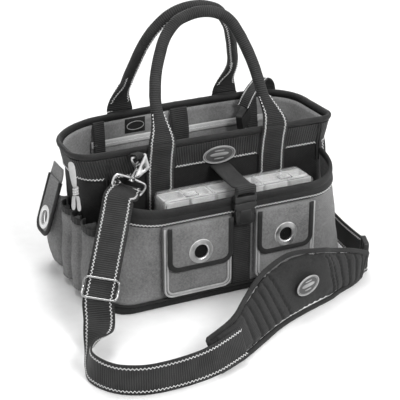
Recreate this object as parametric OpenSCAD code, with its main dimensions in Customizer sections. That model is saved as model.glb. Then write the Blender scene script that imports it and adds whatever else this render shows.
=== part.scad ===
// Open-top garden tool tote: main compartment, front organiser pocket, flap pockets,
// side tool pockets, two carry handles and a padded shoulder strap.
// Frame: X left to right along the front, Y from front to back, Z up.
// The origin is on the underside of the base, below the centre of the main compartment.

/* [Main compartment] */
// Width of the base
base_w = 456; // [440:1:470]
// Depth of the base
base_d = 168; // [160:1:172]
// Height of the bound rim
rim_h = 262; // [258:1:266]
// Height of the ribbed band round the mouth, with its binding
band_h = 54; // [50:1:58]
// Thickness of the reinforced base panel
base_t = 12; // [8:1:12]

/* [Pockets] */
// Depth of the front organiser pocket
front_depth = 95; // [90:1:97]
// Height of the front pocket at its middle
front_h = 176; // [172:1:180]
// Width of a flap pocket
flap_pocket_w = 118; // [110:1:120]
// Length of a pocket flap
flap_len = 83; // [78:1:86]
// Hole radius of the flap grommets
grommet_r = 12.5; // [11:0.5:13]
// Outer radius of the flap grommets
grommet_flange = 22; // [20:0.5:23]
// Height of the side tool pockets above the base panel
tool_pocket_h = 136; // [120:1:138]
// Thickness of fabric walls
fabric_t = 2.4; // [2:0.1:2.6]

/* [Handles and webbing] */
// Width of the strap and handle webbing
webbing_w = 50.8; // [48:0.1:51]
// Half the distance between the feet of a handle
handle_a = 108; // [106:1:110]
// Height of a handle's crown above the rim
handle_h = 192; // [180:1:195]
// Radius of the rolled handle grip
grip_r = 10.2; // [9:0.1:10.4]
// Width of the closure webbing
closure_w = 38; // [36:1:38]

/* [Parts case] */
// Width of the parts case
case_w = 282; // [270:1:284]
// Height of the parts case
case_h = 170; // [160:1:170]
// Thickness of the parts case
case_t = 50; // [44:1:50]

/* [Hidden] */
$fn = 48;
gap = 0.3;
band_z = rim_h - band_h;
binding_h = 13;
band_top = rim_h - binding_h;
base_half = base_w/2;
front0 = -base_d/2 - 4;
back0 = base_d/2 - 4;
pocket_y = front0 - front_depth - 2;
rings = [[-160, -117, rim_h - 9], [246, 50, rim_h - 28]];
ring_turn = atan2(rings[1].y - rings[0].y, rings[1].x - rings[0].x);
ring_tilt = atan2(rings[0].z - rings[1].z, norm([rings[1].x - rings[0].x, rings[1].y - rings[0].y]));
handle_x = -3;
side_x = base_half + 21;
right_side_x = base_half + 1;
flap_top = 151;

// ---------- outline of the main compartment at height z ----------
function left_x(z) = lookup(z, [[0, -base_half], [band_z, -base_half - 20], [rim_h, -base_half - 37]]);
function right_x(z) = lookup(z, [[0, base_half], [band_z, base_half - 6], [rim_h, base_half + 2]]);
function front_y(z) = lookup(z, [[0, front0], [band_z, front0 - 2], [rim_h, front0 - 10]]);
function back_y(z) = lookup(z, [[0, back0], [band_z, back0], [rim_h, back0 - 10]]);
// The back bows out by a smooth swell, most at x = 60.
function bulge(x, z) = lookup(z, [[0, 0], [band_z, 8], [rim_h, 20]])*cos((x - 60)*180/500);
function radii(z) = [
    lookup(z, [[0, 30], [rim_h, 24]]),
    lookup(z, [[0, 40], [rim_h, 62]]),
    lookup(z, [[0, 40], [rim_h, 104]]),
    lookup(z, [[0, 40], [rim_h, 36]])];

// Points of a rectangle with four corner radii, counter-clockwise from the front right.
function corner(c, r, a) = [for (i = [0:8]) c + r*[cos(a + i*90/8), sin(a + i*90/8)]];
function between(p, q, n) = [for (i = [1:n - 1]) p + (q - p)*i/n];
function rounded(x0, x1, y0, y1, r, n = 6) =
    let (fr = corner([x1 - r[0], y0 + r[0]], r[0], -90),
         br = corner([x1 - r[1], y1 - r[1]], r[1], 0),
         bl = corner([x0 + r[2], y1 - r[2]], r[2], 90),
         fl = corner([x0 + r[3], y0 + r[3]], r[3], 180))
    concat(fr, between(fr[8], br[0], n), br, between(br[8], bl[0], n),
           bl, between(bl[8], fl[0], n), fl, between(fl[8], fr[0], n));

// Ring of the compartment at height z, moved outwards by o.
function ring(z, o = 0) =
    let (flat = rounded(left_x(z) - o, right_x(z) + o, front_y(z) - o, back_y(z) + o,
                        [for (r = radii(z)) max(r + o, 2)]))
    [for (p = flat) [p.x, p.y + (p.y > 0 ? bulge(p.x, z)*p.y/back_y(z) : 0), z]];

// ---------- skins ----------
function sides(m, n, loop) = [for (i = [0:m - (loop ? 1 : 2)], j = [0:n - 1], half = [0, 1])
    let (k = (i + 1) % m, l = (j + 1) % n)
    half == 0 ? [i*n + j, k*n + j, k*n + l] : [i*n + j, k*n + l, i*n + l]];
function caps(m, n) = [[for (j = [0:n - 1]) j], [for (j = [n - 1:-1:0]) (m - 1)*n + j]];
// Caps of many points are fans round a hub point.
function fans(m, n) = concat([for (j = [0:n - 1]) [m*n, j, (j + 1) % n]],
                             [for (j = [0:n - 1]) [m*n + 1, (m - 1)*n + (j + 1) % n, (m - 1)*n + j]]);
function add(v, i = 0) = i == len(v) - 1 ? v[i] : v[i] + add(v, i + 1);
function face_volume(p, f) = add([for (i = [1:len(f) - 2]) p[f[0]]*cross(p[f[i]], p[f[i + 1]])]);
function flip(f) = [for (i = [len(f) - 1:-1:0]) f[i]];

// A closed solid through a list of rings with equal numbers of points.
module skin(rings, loop = false) {
    m = len(rings);
    n = len(rings[0]);
    hubs = loop || n < 7 ? [] : [add(rings[0])/n, add(rings[m - 1])/n];
    points = concat([for (r = rings, p = r) p], hubs);
    ends = loop ? [] : n < 7 ? caps(m, n) : fans(m, n);
    faces = concat(sides(m, n, loop), ends);
    volume = add([for (f = faces) face_volume(points, f)]);
    polyhedron(points, volume > 0 ? [for (f = faces) flip(f)] : faces, convexity = 8);
}

// ---------- straps ----------
function unit(v) = v/norm(v);
function spline(p, n = 4) = concat(
    [for (i = [0:len(p) - 2], k = [0:n - 1])
        let (a = p[max(i - 1, 0)], b = p[i], c = p[i + 1], d = p[min(i + 2, len(p) - 1)], t = k/n)
        (2*b + (c - a)*t + (2*a - 5*b + 4*c - d)*t*t + (3*b - a - 3*c + d)*t*t*t)/2],
    [p[len(p) - 1]]);
function along(p, i) = unit(p[min(i + 1, len(p) - 1)] - p[max(i - 1, 0)]);

// Flat band: centre line, width directions, width, and one thickness or a list of them.
module strap(path, across, w, t) {
    skin([for (i = [0:len(path) - 1])
        let (a = along(path, i), u = unit(across[i] - a*(across[i]*a)), n = cross(a, u),
             h = (is_list(t) ? t[i] : t)/2)
        [path[i] + u*w/2 + n*h, path[i] - u*w/2 + n*h,
         path[i] - u*w/2 - n*h, path[i] + u*w/2 - n*h]]);
}

module tube(path, r, sides, side) {
    skin([for (i = [0:len(path) - 1])
        let (a = along(path, i), u = unit(side - a*(side*a)), n = cross(a, u))
        [for (j = [0:sides - 1]) path[i] + r*(cos(j*360/sides)*u + sin(j*360/sides)*n)]]);
}

// Rounded plate in the XZ plane, front face towards -Y.
module plate(x0, x1, z0, z1, t, r_low, r_high) {
    rotate([90, 0, 0]) linear_extrude(t)
        polygon(rounded(x0, x1, z0, z1, [r_low, r_high, r_high, r_low], 1));
}

// ---------- main compartment ----------
module main_shell() color("dimgray")
    skin([ring(base_t), ring(100), ring(band_z), ring(band_top),
          ring(band_top, -3), ring(band_z, -3), ring(100, -3), ring(base_t + 3, -3)]);

module lining() color("gray")
    skin([ring(base_t + 9, -5.5), ring(100, -5.5), ring(band_z, -5.5), ring(band_top, -5.5),
          ring(band_top, -3.3), ring(band_z, -3.3), ring(100, -3.3), ring(base_t + 7, -3.3)]);

module base_board() color("black")
    skin([ring(base_t + 3.3, -5), ring(base_t + 6.7, -5)]);

module base_panel() color("#202020") linear_extrude(base_t)
    polygon(rounded(-base_half - 10, base_half - 4, pocket_y - 2, back0 + 4, [50, 40, 40, 36], 1));

module upper_band() color("#2b2b2b")
    skin([ring(band_top, 2.2), ring(band_z, 2.2), ring(band_z, 0.3), ring(band_top, 0.3)], true);

module rim_binding() color("#1c1c1c")
    skin([ring(band_top + gap, 3.6), ring(band_top + 4, 4.3), ring(rim_h - 3, 4.3), ring(rim_h, 2),
          ring(rim_h, -3.5), ring(rim_h - 3, -5.5), ring(band_top + 4, -5.5),
          ring(band_top + gap, -5)], true);

// ---------- front pocket ----------
// Wall path from the left end round the front to the right end at height z, moved outwards by o.
function pocket_path(o, z) =
    let (h = z/front_h, x0 = -base_half - 8 + 22*h - o, x1 = base_half - 6 - 14*h + o,
         y0 = pocket_y + 2*h - o, left = 36 + 46*h + o, right = 50 + 25*h + o, y1 = front0 - 7)
    concat([[x0, y1], [x0, min(y1 - 1, y0 + left + 1)]], corner([x0 + left, y0 + left], left, 180),
           corner([x1 - right, y0 + right], right, 270), [[x1, min(y1 - 1, y0 + right + 1)], [x1, y1]]);
// The top edge rises towards both ends, more on the right.
function pocket_top(p) = front_h + (p.x < 0 ? 10 : 24)*(p.y - pocket_y)/front_depth;
// Section points: distance outwards, whether the height is from the top edge, and the height.
module pocket_wall(section) {
    top = pocket_path(0, front_h);
    skin([for (i = [0:len(top) - 1]) [for (s = section)
        let (z = s[2] + (s[1] ? pocket_top(top[i]) : 0), p = pocket_path(s[0], z)[i]) [p.x, p.y, z]]]);
}

module front_pocket() color("gray")
    pocket_wall([[0, false, base_t + gap], [-fabric_t, false, base_t + gap],
                 [-fabric_t, true, -1], [0, true, -1]]);

module front_pocket_band() color("#222222")
    pocket_wall([[gap, true, -27], [2.6, true, -27], [3.4, true, 2.5],
                 [-3.6, true, 2.5], [-3.6, true, -0.7], [gap, true, -0.7]]);

// ---------- parts case standing in the front pocket ----------
case_x = 9;
case_y = -140;
case_z = base_t + gap;
module case_shell(y_front, y_back, closed_y, closed_t) {
    difference() {
        translate([0, y_back, 0])
            plate(case_x - case_w/2, case_x + case_w/2, case_z, case_z + case_h, y_back - y_front, 10, 10);
        translate([0, closed_y == y_back ? y_back - closed_t : y_back + 1, 0])
            plate(case_x - case_w/2 + 2, case_x + case_w/2 - 2, case_z + 2, case_z + case_h - 2,
                  y_back - y_front - closed_t + 1, 8, 8);
    }
}
module parts_case() color("gainsboro")
    case_shell(case_y - case_t/2 + 12, case_y + case_t/2, case_y + case_t/2, 2);

module parts_case_lid() color("whitesmoke") {
    case_shell(case_y - case_t/2, case_y - case_t/2 + 11.7, case_y, 2);
    for (side = [-1, 1])
        translate([case_x + side*90, case_y - case_t/2 + 12, case_z + case_h + gap])
            translate([-12, -7, 0]) cube([24, 16, 2.5]);
}

module parts_case_dividers() color("silver")
    for (i = [1:5])
        translate([case_x - case_w/2 + i*case_w/6 - 0.75, case_y - case_t/2 + 12.5, case_z + 3])
            cube([1.5, case_t - 15.5, case_h - 6]);

// ---------- flap pockets on the front ----------
pocket_face = pocket_y - gap;
module flap_pocket(side) {
    x0 = side < 0 ? -150 : 22;
    x1 = side < 0 ? -26 : 136;
    difference() {
        translate([0, pocket_face, 0]) plate(x0, x1, 22, 150, 13, 12, 3);
        translate([0, pocket_face + 1, 0]) plate(x0 + 2, x1 - 2, 24, 160, 12, 10, 1);
    }
}
module flap_pocket_left() color("gray") flap_pocket(-1);
module flap_pocket_right() color("gray") flap_pocket(1);

// Flap hanging in front of its pocket; the panel sits inside its binding.
flap_y = pocket_face - 14.5;
function flap_span(side) = side < 0 ? [-146, -24] : [22, 132];
function flap_mid(side) = (flap_span(side)[0] + flap_span(side)[1])/2;
module flap_panel(side) {
    s = flap_span(side);
    difference() {
        translate([0, flap_y, 0])
            plate(s[0] + 9, s[1] - 9, flap_top - flap_len + 9, flap_top - gap, 2.4, 12, 1);
        translate([flap_mid(side), flap_y + 1, flap_top - flap_len + 32])
            rotate([90, 0, 0]) cylinder(r = grommet_r + 1.5, h = 5);
    }
}
module flap_edge(side) {
    s = flap_span(side);
    difference() {
        translate([0, flap_y + 0.8, 0]) plate(s[0], s[1], flap_top - flap_len, flap_top - gap, 4, 20, 1);
        translate([0, flap_y + 2, 0])
            plate(s[0] + 9, s[1] - 9, flap_top - flap_len + 9, flap_top + 9, 7, 12, 1);
    }
}
// Rolled metal eyelet with a flange each side of cloth of thickness 2.4, along Z.
module eyelet() rotate_extrude()
    polygon([[grommet_r, -1.2], [grommet_flange - 3, -1.2], [grommet_flange - 3, -0.1],
             [grommet_r + 1.4, -0.1], [grommet_r + 1.4, 2.5], [grommet_flange, 2.5],
             [grommet_flange - 1, 3.9], [grommet_r + 2, 4.2], [grommet_r, 3.2]]);
module flap_grommet(side)
    translate([flap_mid(side), flap_y, flap_top - flap_len + 32]) rotate([90, 0, 0]) eyelet();

module flap_left() color("gray") flap_panel(-1);
module flap_left_binding() color("#1c1c1c") flap_edge(-1);
module flap_left_grommet() color("silver") flap_grommet(-1);
module flap_right() color("gray") flap_panel(1);
module flap_right_binding() color("#1c1c1c") flap_edge(1);
module flap_right_grommet() color("silver") flap_grommet(1);

// ---------- centre strip, side-release buckle and closure strap ----------
module center_strip() color("#222222")
    translate([0, pocket_face - 0.2, 0]) plate(-19, 17, base_t + 1, 148, 2.2, 1, 1);

buckle_y = pocket_face - 4.5;
module buckle_socket() color("#181818") difference() {
    translate([0, buckle_y, 0]) plate(-22, 20, 132, 172, 13, 5, 2);
    translate([-20, buckle_y - 10, 141]) cube([38, 7, 40]);
    for (x = [-23, 16]) translate([x, buckle_y - 10, 146]) cube([6, 7, 16]);
}
module buckle_plug() color("#101010") {
    difference() {
        translate([0, buckle_y, 0]) plate(-22, 20, 172.4, 200, 13, 2, 5);
        translate([-19, buckle_y - 14, 184]) cube([36, 15, 8]);
    }
    for (x = [-17.5, -4, 9.5]) translate([x, buckle_y - 9, 144]) cube([6, 5, 28.6]);
}
module closure_strap() color("#222222")
    strap([[2, front0 - 5, 202.5], [1, front0 - 16, 202.5], [0, front0 - 40, 201], [-1, front0 - 66, 199],
           [-1, front0 - 83, 198]],
          [for (i = [0:4]) [1, 0, 0]], closure_w, 2);

// ---------- handles ----------
// Webbing sewn on the outside of the compartment, over the band and the binding.
function face_y(side, x, z) = side < 0 ? front_y(z) : back_y(z) + bulge(x, z) + 1.2;
webbing_steps = [[120, 2.6], [band_z, 2.6], [band_top - 5, 2.6], [band_top, 5.2], [rim_h + 2, 5.2]];
module sewn_webbing(side)
    for (x = [handle_x - handle_a, handle_x + handle_a])
        skin([for (s = webbing_steps) [for (q = [[-25, 0], [25, 0], [25, 1.8], [-25, 1.8]])
            [x + q[0], face_y(side, x + q[0], s[0]) + side*(s[1] + q[1]), s[0]]]]);
module front_handle_webbing() color("#242424") sewn_webbing(-1);
module rear_handle_webbing() color("#242424") sewn_webbing(1);

// Centre lines of the rolled grips, from the left foot over the crown to the right foot.
front_grip = [[-111, -106, 0], [-112, -90, 40], [-110, -76, 66], [-106, -66, 90], [-99, -56, 112],
              [-87, -44, 137], [-72, -33, 162], [-49, -25, 183], [-24, -21, 192], [2, -20, 195], [28, -22, 191], [50, -29, 178],
              [66, -40, 151], [77, -53, 121], [84, -63, 96], [88, -75, 70], [91, -90, 40], [96, -106, 0]];
rear_grip = [[-108, 100, 0], [-105, 84, 34], [-101, 68, 65], [-95, 54, 92], [-86, 36, 128], [-72, 22, 158],
             [-52, 11, 182], [-31, 6, 194], [-6, 4, 199], [20, 5, 197], [48, 10, 185], [74, 24, 155],
             [88, 38, 125], [98, 52, 96], [106, 65, 70], [108, 82, 40], [105, 100, 0]];
grip_low = 8;
// A grip starts grip_low above the rim; heights scale with the crown's height.
function grip_path(points) =
    let (p = spline([for (q = points) [q.x, q.y, rim_h + q.z*handle_h/192]], 2))
    concat([[p[0].x, p[0].y, rim_h + grip_low]], [for (q = p) if (q.z > rim_h + grip_low + 8) q],
           [[p[len(p) - 1].x, p[len(p) - 1].y, rim_h + grip_low]]);
module front_handle() color("#2a2a2a") tube(grip_path(front_grip), grip_r, 12, [0, 1, 0]);
module rear_handle() color("#2a2a2a") tube(grip_path(rear_grip), grip_r, 12, [0, 1, 0]);

// Oval patch on the upper band.
module oval(rx, rz, t) rotate([90, 0, 0]) linear_extrude(t)
    polygon([for (i = [0:47]) [rx*cos(i*7.5), rz*sin(i*7.5)]]);
module front_badge() color("silver")
    translate([0, front_y(222) - 3, 222]) rotate([atan2(8, band_h), 0, 0]) oval(32, 17, 1.6);

// ---------- inside ----------
function inner_back(x, z) = (back_y(z) - 5.5)*(1 + bulge(x, z)/back_y(z));
module back_panel(x0, x1, low, high, t) {
    skin([for (i = [0:8]) let (x = x0 + (x1 - x0)*i/8)
        [[x, inner_back(x, low[0]) - low[1], low[0]], [x, inner_back(x, low[0]) - low[1] - t, low[0]],
         [x, inner_back(x, high[0]) - high[1] - t, high[0]], [x, inner_back(x, high[0]) - high[1], high[0]]]]);
}
module inner_pocket() color("dimgray") back_panel(-175, 175, [70, 2], [204, 9], 1.6);
module inner_pocket_binding() color("darkgray") back_panel(-175, 175, [204.5, 8], [217, 8], 3);
module inner_loops() color("black") {
    back_panel(-17, 17, [190, 14], [247, 8], 2);
    back_panel(-172, -150, [190, 14], [247, 8], 2);
    back_panel(140, 162, [190, 14], [247, 8], 2);
}
module inner_label() color("black") back_panel(-106, -66, [219, 1.5], [247, 1.5], 1.2);

// ---------- rear slip pocket and the strap over the rim ----------
rear_y = back0 + 11;
rear_half = 165;
module rear_wall(o, z0, z1) translate([0, 0, z0]) linear_extrude(z1 - z0)
    difference() {
        polygon(rounded(-rear_half - o, rear_half + o, rear_y, rear_y + 20 + o, [1, 14, 14, 1], 1));
        translate([0, -1]) polygon(rounded(-rear_half - o + fabric_t, rear_half + o - fabric_t, rear_y,
            rear_y + 21 + o - fabric_t, [1, 12, 12, 1], 1));
    }
module rear_pocket() color("gray") {
    rear_wall(0, base_t, 165);
    translate([0, 0, base_t - 2 - gap]) linear_extrude(2)
        polygon(rounded(-rear_half, rear_half, rear_y, rear_y + 20, [1, 14, 14, 1], 1));
}
module rear_pocket_band() color("#222222") rear_wall(fabric_t + gap, 143, 166);

rear_path = spline([[122, 50, 246], [134, 54, 264], [156, 66, 280], [180, 84, 285],
                    [198, 96, 269], [202, 95, 245], [202, 92, 222]], 3);
module rear_strap() color("#222222")
    strap(rear_path, [for (i = [0:len(rear_path) - 1]) [0.75, -0.65, 0]], 25, 2.4);
module rear_strap_buckle() color("#141414") translate([120, 46, 227]) rotate([0, -18, 40]) difference() {
    translate([0, 6, 0]) plate(-19, 19, -18, 14, 12, 4, 4);
    translate([-15, -3, -20]) cube([30, 6, 26]);
    translate([-14, -8, 9]) cube([28, 16, 2.5]);
}

// ---------- side pockets ----------
function half_round(w, d) = concat([for (i = [0:12]) let (a = -90 + i*15)
    [-d*pow(cos(a), 0.7), w/2*sin(a)]]);
// Tool pockets of each side: place along Y, width, extra height.
left_pockets = [[-27, 50, 0], [-75, 42, 0], [-128, 54, 4]];
right_pockets = [[2, 46, 0], [50, 42, 4]];
function pocket_z(p) = base_t + tool_pocket_h + p[2] - 12;
module tool_pocket_wall(p, d, z0, z1, out, t) translate([0, p[0], z0]) linear_extrude(z1 - z0)
    difference() {
        polygon(half_round(p[1] + 2*out, d + out));
        translate([0.1, 0]) polygon(half_round(p[1] + 2*out - 2*t, d + out - t));
    }
module tool_pocket_row(row, d)
    for (p = row) {
        tool_pocket_wall(p, d, base_t, pocket_z(p), 0, 1.8);
        translate([0, p[0], base_t]) linear_extrude(1.8) polygon(half_round(p[1] - 4, d - 2));
    }
module elastic_row(row, d)
    for (p = row) tool_pocket_wall(p, d, pocket_z(p) + 0.1, pocket_z(p) + 12, 0.4, 2.4);
module left_tool_pockets() color("gray") translate([-side_x, 0, 0]) tool_pocket_row(left_pockets, 20);
module left_elastic_tops() color("#1a1a1a") translate([-side_x, 0, 0]) elastic_row(left_pockets, 20);
module right_tool_pockets() color("gray")
    translate([right_side_x, 0, 0]) mirror([1, 0, 0]) tool_pocket_row(right_pockets, 14);
module right_elastic_tops() color("#1a1a1a")
    translate([right_side_x, 0, 0]) mirror([1, 0, 0]) elastic_row(right_pockets, 14);

// Bulging pocket behind the tool pockets on the left side, and its flap.
side_mid = 38;
side_hinge = [-side_x - 3.5, side_mid, 176];
side_lean = 17.5;
side_levels = [[base_t + gap, 14], [56, 24], [96, 26], [150, 10]];
function side_depth(z) = lookup(z, side_levels);
function side_u(o, z) = let (d = side_depth(z) + o, r = min(10, side_depth(z) - 1) + o, x = -side_x - d)
    concat([[-side_x - gap, side_mid + 33 + o]], corner([x + r, side_mid + 33 + o - r], r, 90),
           corner([x + r, side_mid - 33 - o + r], r, 180), [[-side_x - gap, side_mid - 33 - o]]);
module side_pocket() color("gray") {
    section = concat([for (s = side_levels) [0, s[0]]], [for (i = [3:-1:0]) [-2, side_levels[i][0]]]);
    skin([for (i = [0:len(side_u(0, 50)) - 1]) [for (s = section)
        let (p = side_u(s[0], s[1])[i]) [p.x, p.y, s[1]]]]);
    translate([0, 0, base_t + gap]) linear_extrude(2) polygon(side_u(-2.2, base_t + gap));
}
module side_flap() color("#555555") translate(side_hinge) rotate([0, side_lean, 0]) difference() {
    translate([-2.4, -31, -108]) cube([2.4, 62, 105]);
    translate([-4, 0, -78]) rotate([0, 90, 0]) cylinder(r = grommet_r + 1.5, h = 6);
}
module side_flap_ring() color("silver") translate(side_hinge) rotate([0, side_lean, 0])
    translate([0, 0, -78]) rotate([0, -90, 0]) eyelet();

// ---------- ring tabs, D rings and snap hooks ----------
module at_ring(i) translate(rings[i]) rotate([0, ring_tilt, ring_turn]) rotate([0, 0, 180*i]) children();
// The left tab is sewn along the front; the right one stands out from the end wall.
module ring_tabs() color("#1a1a1a") for (i = [0, 1]) at_ring(i) difference() {
    union() {
        rotate([0, 90, 0]) cylinder(r = 4.2, h = 18, center = true);
        if (i == 0) translate([-9, 0, -4.2]) cube([18, 12, 8.4]);
        else translate([-9, -4.2, 2.6]) cube([26.4, 8.4, 1.6]);
    }
    rotate([0, 90, 0]) cylinder(r = 2.2, h = 20, center = true);
}
module d_rings() color("silver") for (i = [0, 1]) at_ring(i) {
    rotate([0, 90, 0]) cylinder(r = 1.9, h = 30, center = true);
    rotate([-90, 0, 0]) rotate_extrude(angle = 180) translate([15, 0]) circle(r = 1.9);
    for (x = [-15, 15]) translate([x, 0, 0]) sphere(r = 1.9);
}

// Snap hook along local Z: bail for the webbing at the bottom, crook at the top.
crook_z = 40;
lever_z = 25.5;
module snap_hook_shape() {
    for (z = [0, 12]) translate([0, 0, z]) rotate([0, 90, 0]) cylinder(r = 2, h = 59, center = true);
    for (x = [-29.5, 29.5]) translate([x, 0, -2.3]) cylinder(r = 2.2, h = 16.6);
    translate([0, 0, 11]) cylinder(r = 5.5, h = 11);
    translate([0, 0, 20]) cylinder(r = 2.6, h = crook_z - 28.5);
    translate([0, 0, crook_z]) rotate([0, 90, 0]) rotate([0, 0, 40])
        rotate_extrude(angle = 280) translate([8.5, 0]) circle(r = 2.1);
    translate([0, 0, lever_z]) rotate([90, 0, 0]) cylinder(r = 1.6, h = 14);
}
// Pointed thumb lever, turning on the pin in front of the crook.
module snap_lever_shape() difference() {
    translate([0, -11.4, 0]) rotate([90, 0, 0]) linear_extrude(1.6)
        polygon([[-3.6, 22], [3.6, 22], [15, 46], [-5, 66]]);
    translate([0, -10, lever_z]) rotate([90, 0, 0]) cylinder(r = 1.9, h = 5);
    translate([4.5, -10, 40]) rotate([90, 0, 0]) cylinder(r = 1.5, h = 5);
}
hook_drop = 16.5;
module at_hook(i) translate(rings[i] - [0, 0, hook_drop]) rotate([0, 0, 180*i]) rotate([0, 30, 0])
    translate([0, 0, -crook_z]) children();
module left_snap_hook() color("silver") at_hook(0) snap_hook_shape();
module left_snap_lever() color("gainsboro") at_hook(0) snap_lever_shape();
module right_snap_hook() color("silver") at_hook(1) snap_hook_shape();
module right_snap_lever() color("gainsboro") at_hook(1) snap_lever_shape();

// ---------- tape clip hanging from the rim at the front left corner ----------
clip_x = -262;
clip_y = -88;
module tape_clip_strap() color("lightgray")
    translate([clip_x, clip_y, 206]) rotate([0, 0, 35]) translate([-1.2, -4, 0]) cube([2.4, 8, 38]);
module tape_clip() color("silver") translate([clip_x, clip_y, 0]) rotate([0, 0, 35]) {
    translate([0, 0, 190]) cylinder(r = 5.5, h = 15);
    for (s = [-1, 1]) translate([0, s*4, 0]) rotate([s*-4, 0, 0])
        translate([-1.2, -2.2, 162]) cube([2.4, 4.4, 29]);
}

// ---------- shoulder strap ----------
// The left webbing hangs from its hook, laps over the pocket's corner, runs straight through the
// slider and turns on edge on the floor.
bail_drop = hook_drop*[0, 0, 1] + (crook_z + 5.5)*[0.5, 0, 0.866];
strap_top = rings[0] - bail_drop;
strap_lap = [-208, -144, 196];
strap_low = [-285, -240, 67];
strap_dir = unit(strap_low - strap_lap);
left_across = [0.82, -0.5, -0.15];
left_knots = [strap_low, [-290, -256, 42], [-304, -282, 28], [-329, -316, 26], [-341, -356, 26],
              [-322, -399, 26], [-284, -422, 26], [-238, -427, 26], [-196, -426.5, 28], [-166, -423, 31],
              [-136, -413.5, 34], [-106, -400.5, 36]];
left_tilts = [left_across, [0.85, -0.45, 0], [0.75, -0.25, 0.5], [0.35, 0, 0.93], [0.1, 0.05, 0.99],
              [0, 0, 1], [0, 0, 1], [0, 0.05, 1], [-0.15, 0.1, 0.97], [-0.28, 0.13, 0.95],
              [-0.26, 0.15, 0.95], [-0.24, 0.2, 0.95]];
module strap_left() color("#262626")
    strap(concat([strap_top, strap_lap], spline(left_knots)),
          concat([[0.866, 0, -0.5], left_across], spline(left_tilts)), webbing_w,
          concat([4.8, 4.8, 4.8], [for (i = [1:4*len(left_knots)]) 2.6]));

slider_back = 22;
slider_at = strap_low - strap_dir*slider_back;
slider_across = unit(left_across - strap_dir*(left_across*strap_dir));
slider_out = cross(strap_dir, slider_across);
function on_slider(x, y, z) = slider_at + slider_across*x + strap_dir*y + slider_out*z;
module slider_bar(p, q, r, side) tube([on_slider(p.x, p.y, p.z), on_slider(q.x, q.y, q.z)], r, 8, side);
module strap_slider() color("silver") {
    for (side = [-29, 29]) slider_bar([side, -18.4, 0], [side, 18.4, 0], 2.2, slider_out);
    for (bar = [[-17, 5.2], [0, -5.2], [17, 5.2]]) {
        slider_bar([-30, bar[0], bar[1]], [30, bar[0], bar[1]], 2, slider_out + strap_dir*0.3);
        for (side = [-29, 29])
            slider_bar([side, bar[0], 0], [side, bar[0], bar[1]], 1.7, slider_across + strap_dir*0.2);
    }
}

// The pad stands on its lower edge on the floor; both edges are given from left to right.
pad_low = [[-158, -422, 1], [-100, -396, 1], [-48, -364, 1], [-5, -337, 1], [37, -317, 1],
           [87, -298, 1], [124, -285, 1], [150, -271, 1], [184, -257, 1], [214, -238, 1]];
pad_high = [[-179, -412, 64], [-118, -381, 71], [-78, -346, 81], [-50, -329, 97], [-18, -312, 107],
            [28, -303, 119], [94, -292, 108], [125, -277, 95], [179, -258, 75], [228, -238, 50]];
pad_t = 12;
module shoulder_pad() color("#2e2e2e") {
    low = spline(pad_low, 3);
    high = spline(pad_high, 3);
    m = len(low) - 1;
    skin([for (i = [0:m])
        let (a = unit(low[min(i + 1, m)] - low[max(i - 1, 0)]), u = unit(high[i] - low[i]), n = cross(a, u),
             h = high[i] - low[i], t = pad_t/2*lookup(i/m, [[0, 0.4], [0.2, 1], [0.8, 1], [1, 0.4]]))
        [low[i] + n*2, low[i] + h*0.12 + n*t, low[i] + h*0.88 + n*t, high[i] + n*2,
         high[i] - n*2, low[i] + h*0.88 - n*t, low[i] + h*0.12 - n*t, low[i] - n*2]]);
}
badge_at = [56, -316, 58];
module pad_badge() color("silver") translate(badge_at) rotate([2, 0, 20]) oval(28, 17, 1.4);

ladder_at = [235, -210, 32];
module ladder_buckle() color("#141414") translate(ladder_at) rotate([0, -3, 70]) difference() {
    translate([0, 4, 0]) plate(-17, 17, -29, 29, 8, 4, 4);
    for (x = [-12, 2]) translate([x, -9, -25.6]) cube([10, 18, 51.2]);
}

// Webbing between the pad and the ladder buckle.
module ladder_link() color("#262626")
    strap([[196, -242, 28], [216, -232, 27], [224.6, -228.8, 30]], [[0, 0, 1], [0.05, 0, 1], [0.05, 0, 1]],
          webbing_w - 2, 2.6);

// The right webbing runs on edge past the right side and climbs to the hook at the back.
right_knots = [rings[1] - [-bail_drop.x, 0, bail_drop.z], [274, 50, 167], [277, 50, 145],
               [276, 46, 115], [277, 36, 80], [276, 14, 45], [270, -18, 29], [260, -50, 28],
               [253, -85, 28], [248, -120, 28], [245, -160, 28], [241.5, -191.5, 30]];
right_tilts = [[-0.866, 0, -0.5], [-0.866, 0, -0.5], [-1, 0.1, -0.2], [-0.9, 0.3, -0.3],
               [-0.7, 0.4, -0.6], [-0.3, 0.3, -0.9], [0, 0, -1], [0, 0, -1], [0, 0, -1], [0, 0, -1],
               [0, 0, -1], [0, 0, -1]];
module strap_right() color("#262626")
    strap(spline(right_knots), spline(right_tilts), webbing_w, 2.6);

main_shell();
lining();
base_board();
base_panel();
upper_band();
rim_binding();
front_pocket();
front_pocket_band();
parts_case();
parts_case_lid();
parts_case_dividers();
flap_pocket_left();
flap_pocket_right();
flap_left();
flap_left_binding();
flap_left_grommet();
flap_right();
flap_right_binding();
flap_right_grommet();
center_strip();
buckle_socket();
buckle_plug();
closure_strap();
front_handle_webbing();
rear_handle_webbing();
front_handle();
rear_handle();
front_badge();
inner_pocket();
inner_pocket_binding();
inner_loops();
inner_label();
rear_pocket();
rear_pocket_band();
rear_strap();
rear_strap_buckle();
left_tool_pockets();
left_elastic_tops();
side_pocket();
side_flap();
side_flap_ring();
right_tool_pockets();
right_elastic_tops();
ring_tabs();
d_rings();
tape_clip_strap();
tape_clip();
left_snap_hook();
left_snap_lever();
right_snap_hook();
right_snap_lever();
strap_slider();
strap_left();
shoulder_pad();
pad_badge();
ladder_buckle();
strap_right();
ladder_link();
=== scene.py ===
from math import atan2, copysign, cos, dist, exp, hypot, pi, radians, sin
import bpy
import bmesh
import numpy as np
from mathutils import Matrix, Vector, kdtree, noise


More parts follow.
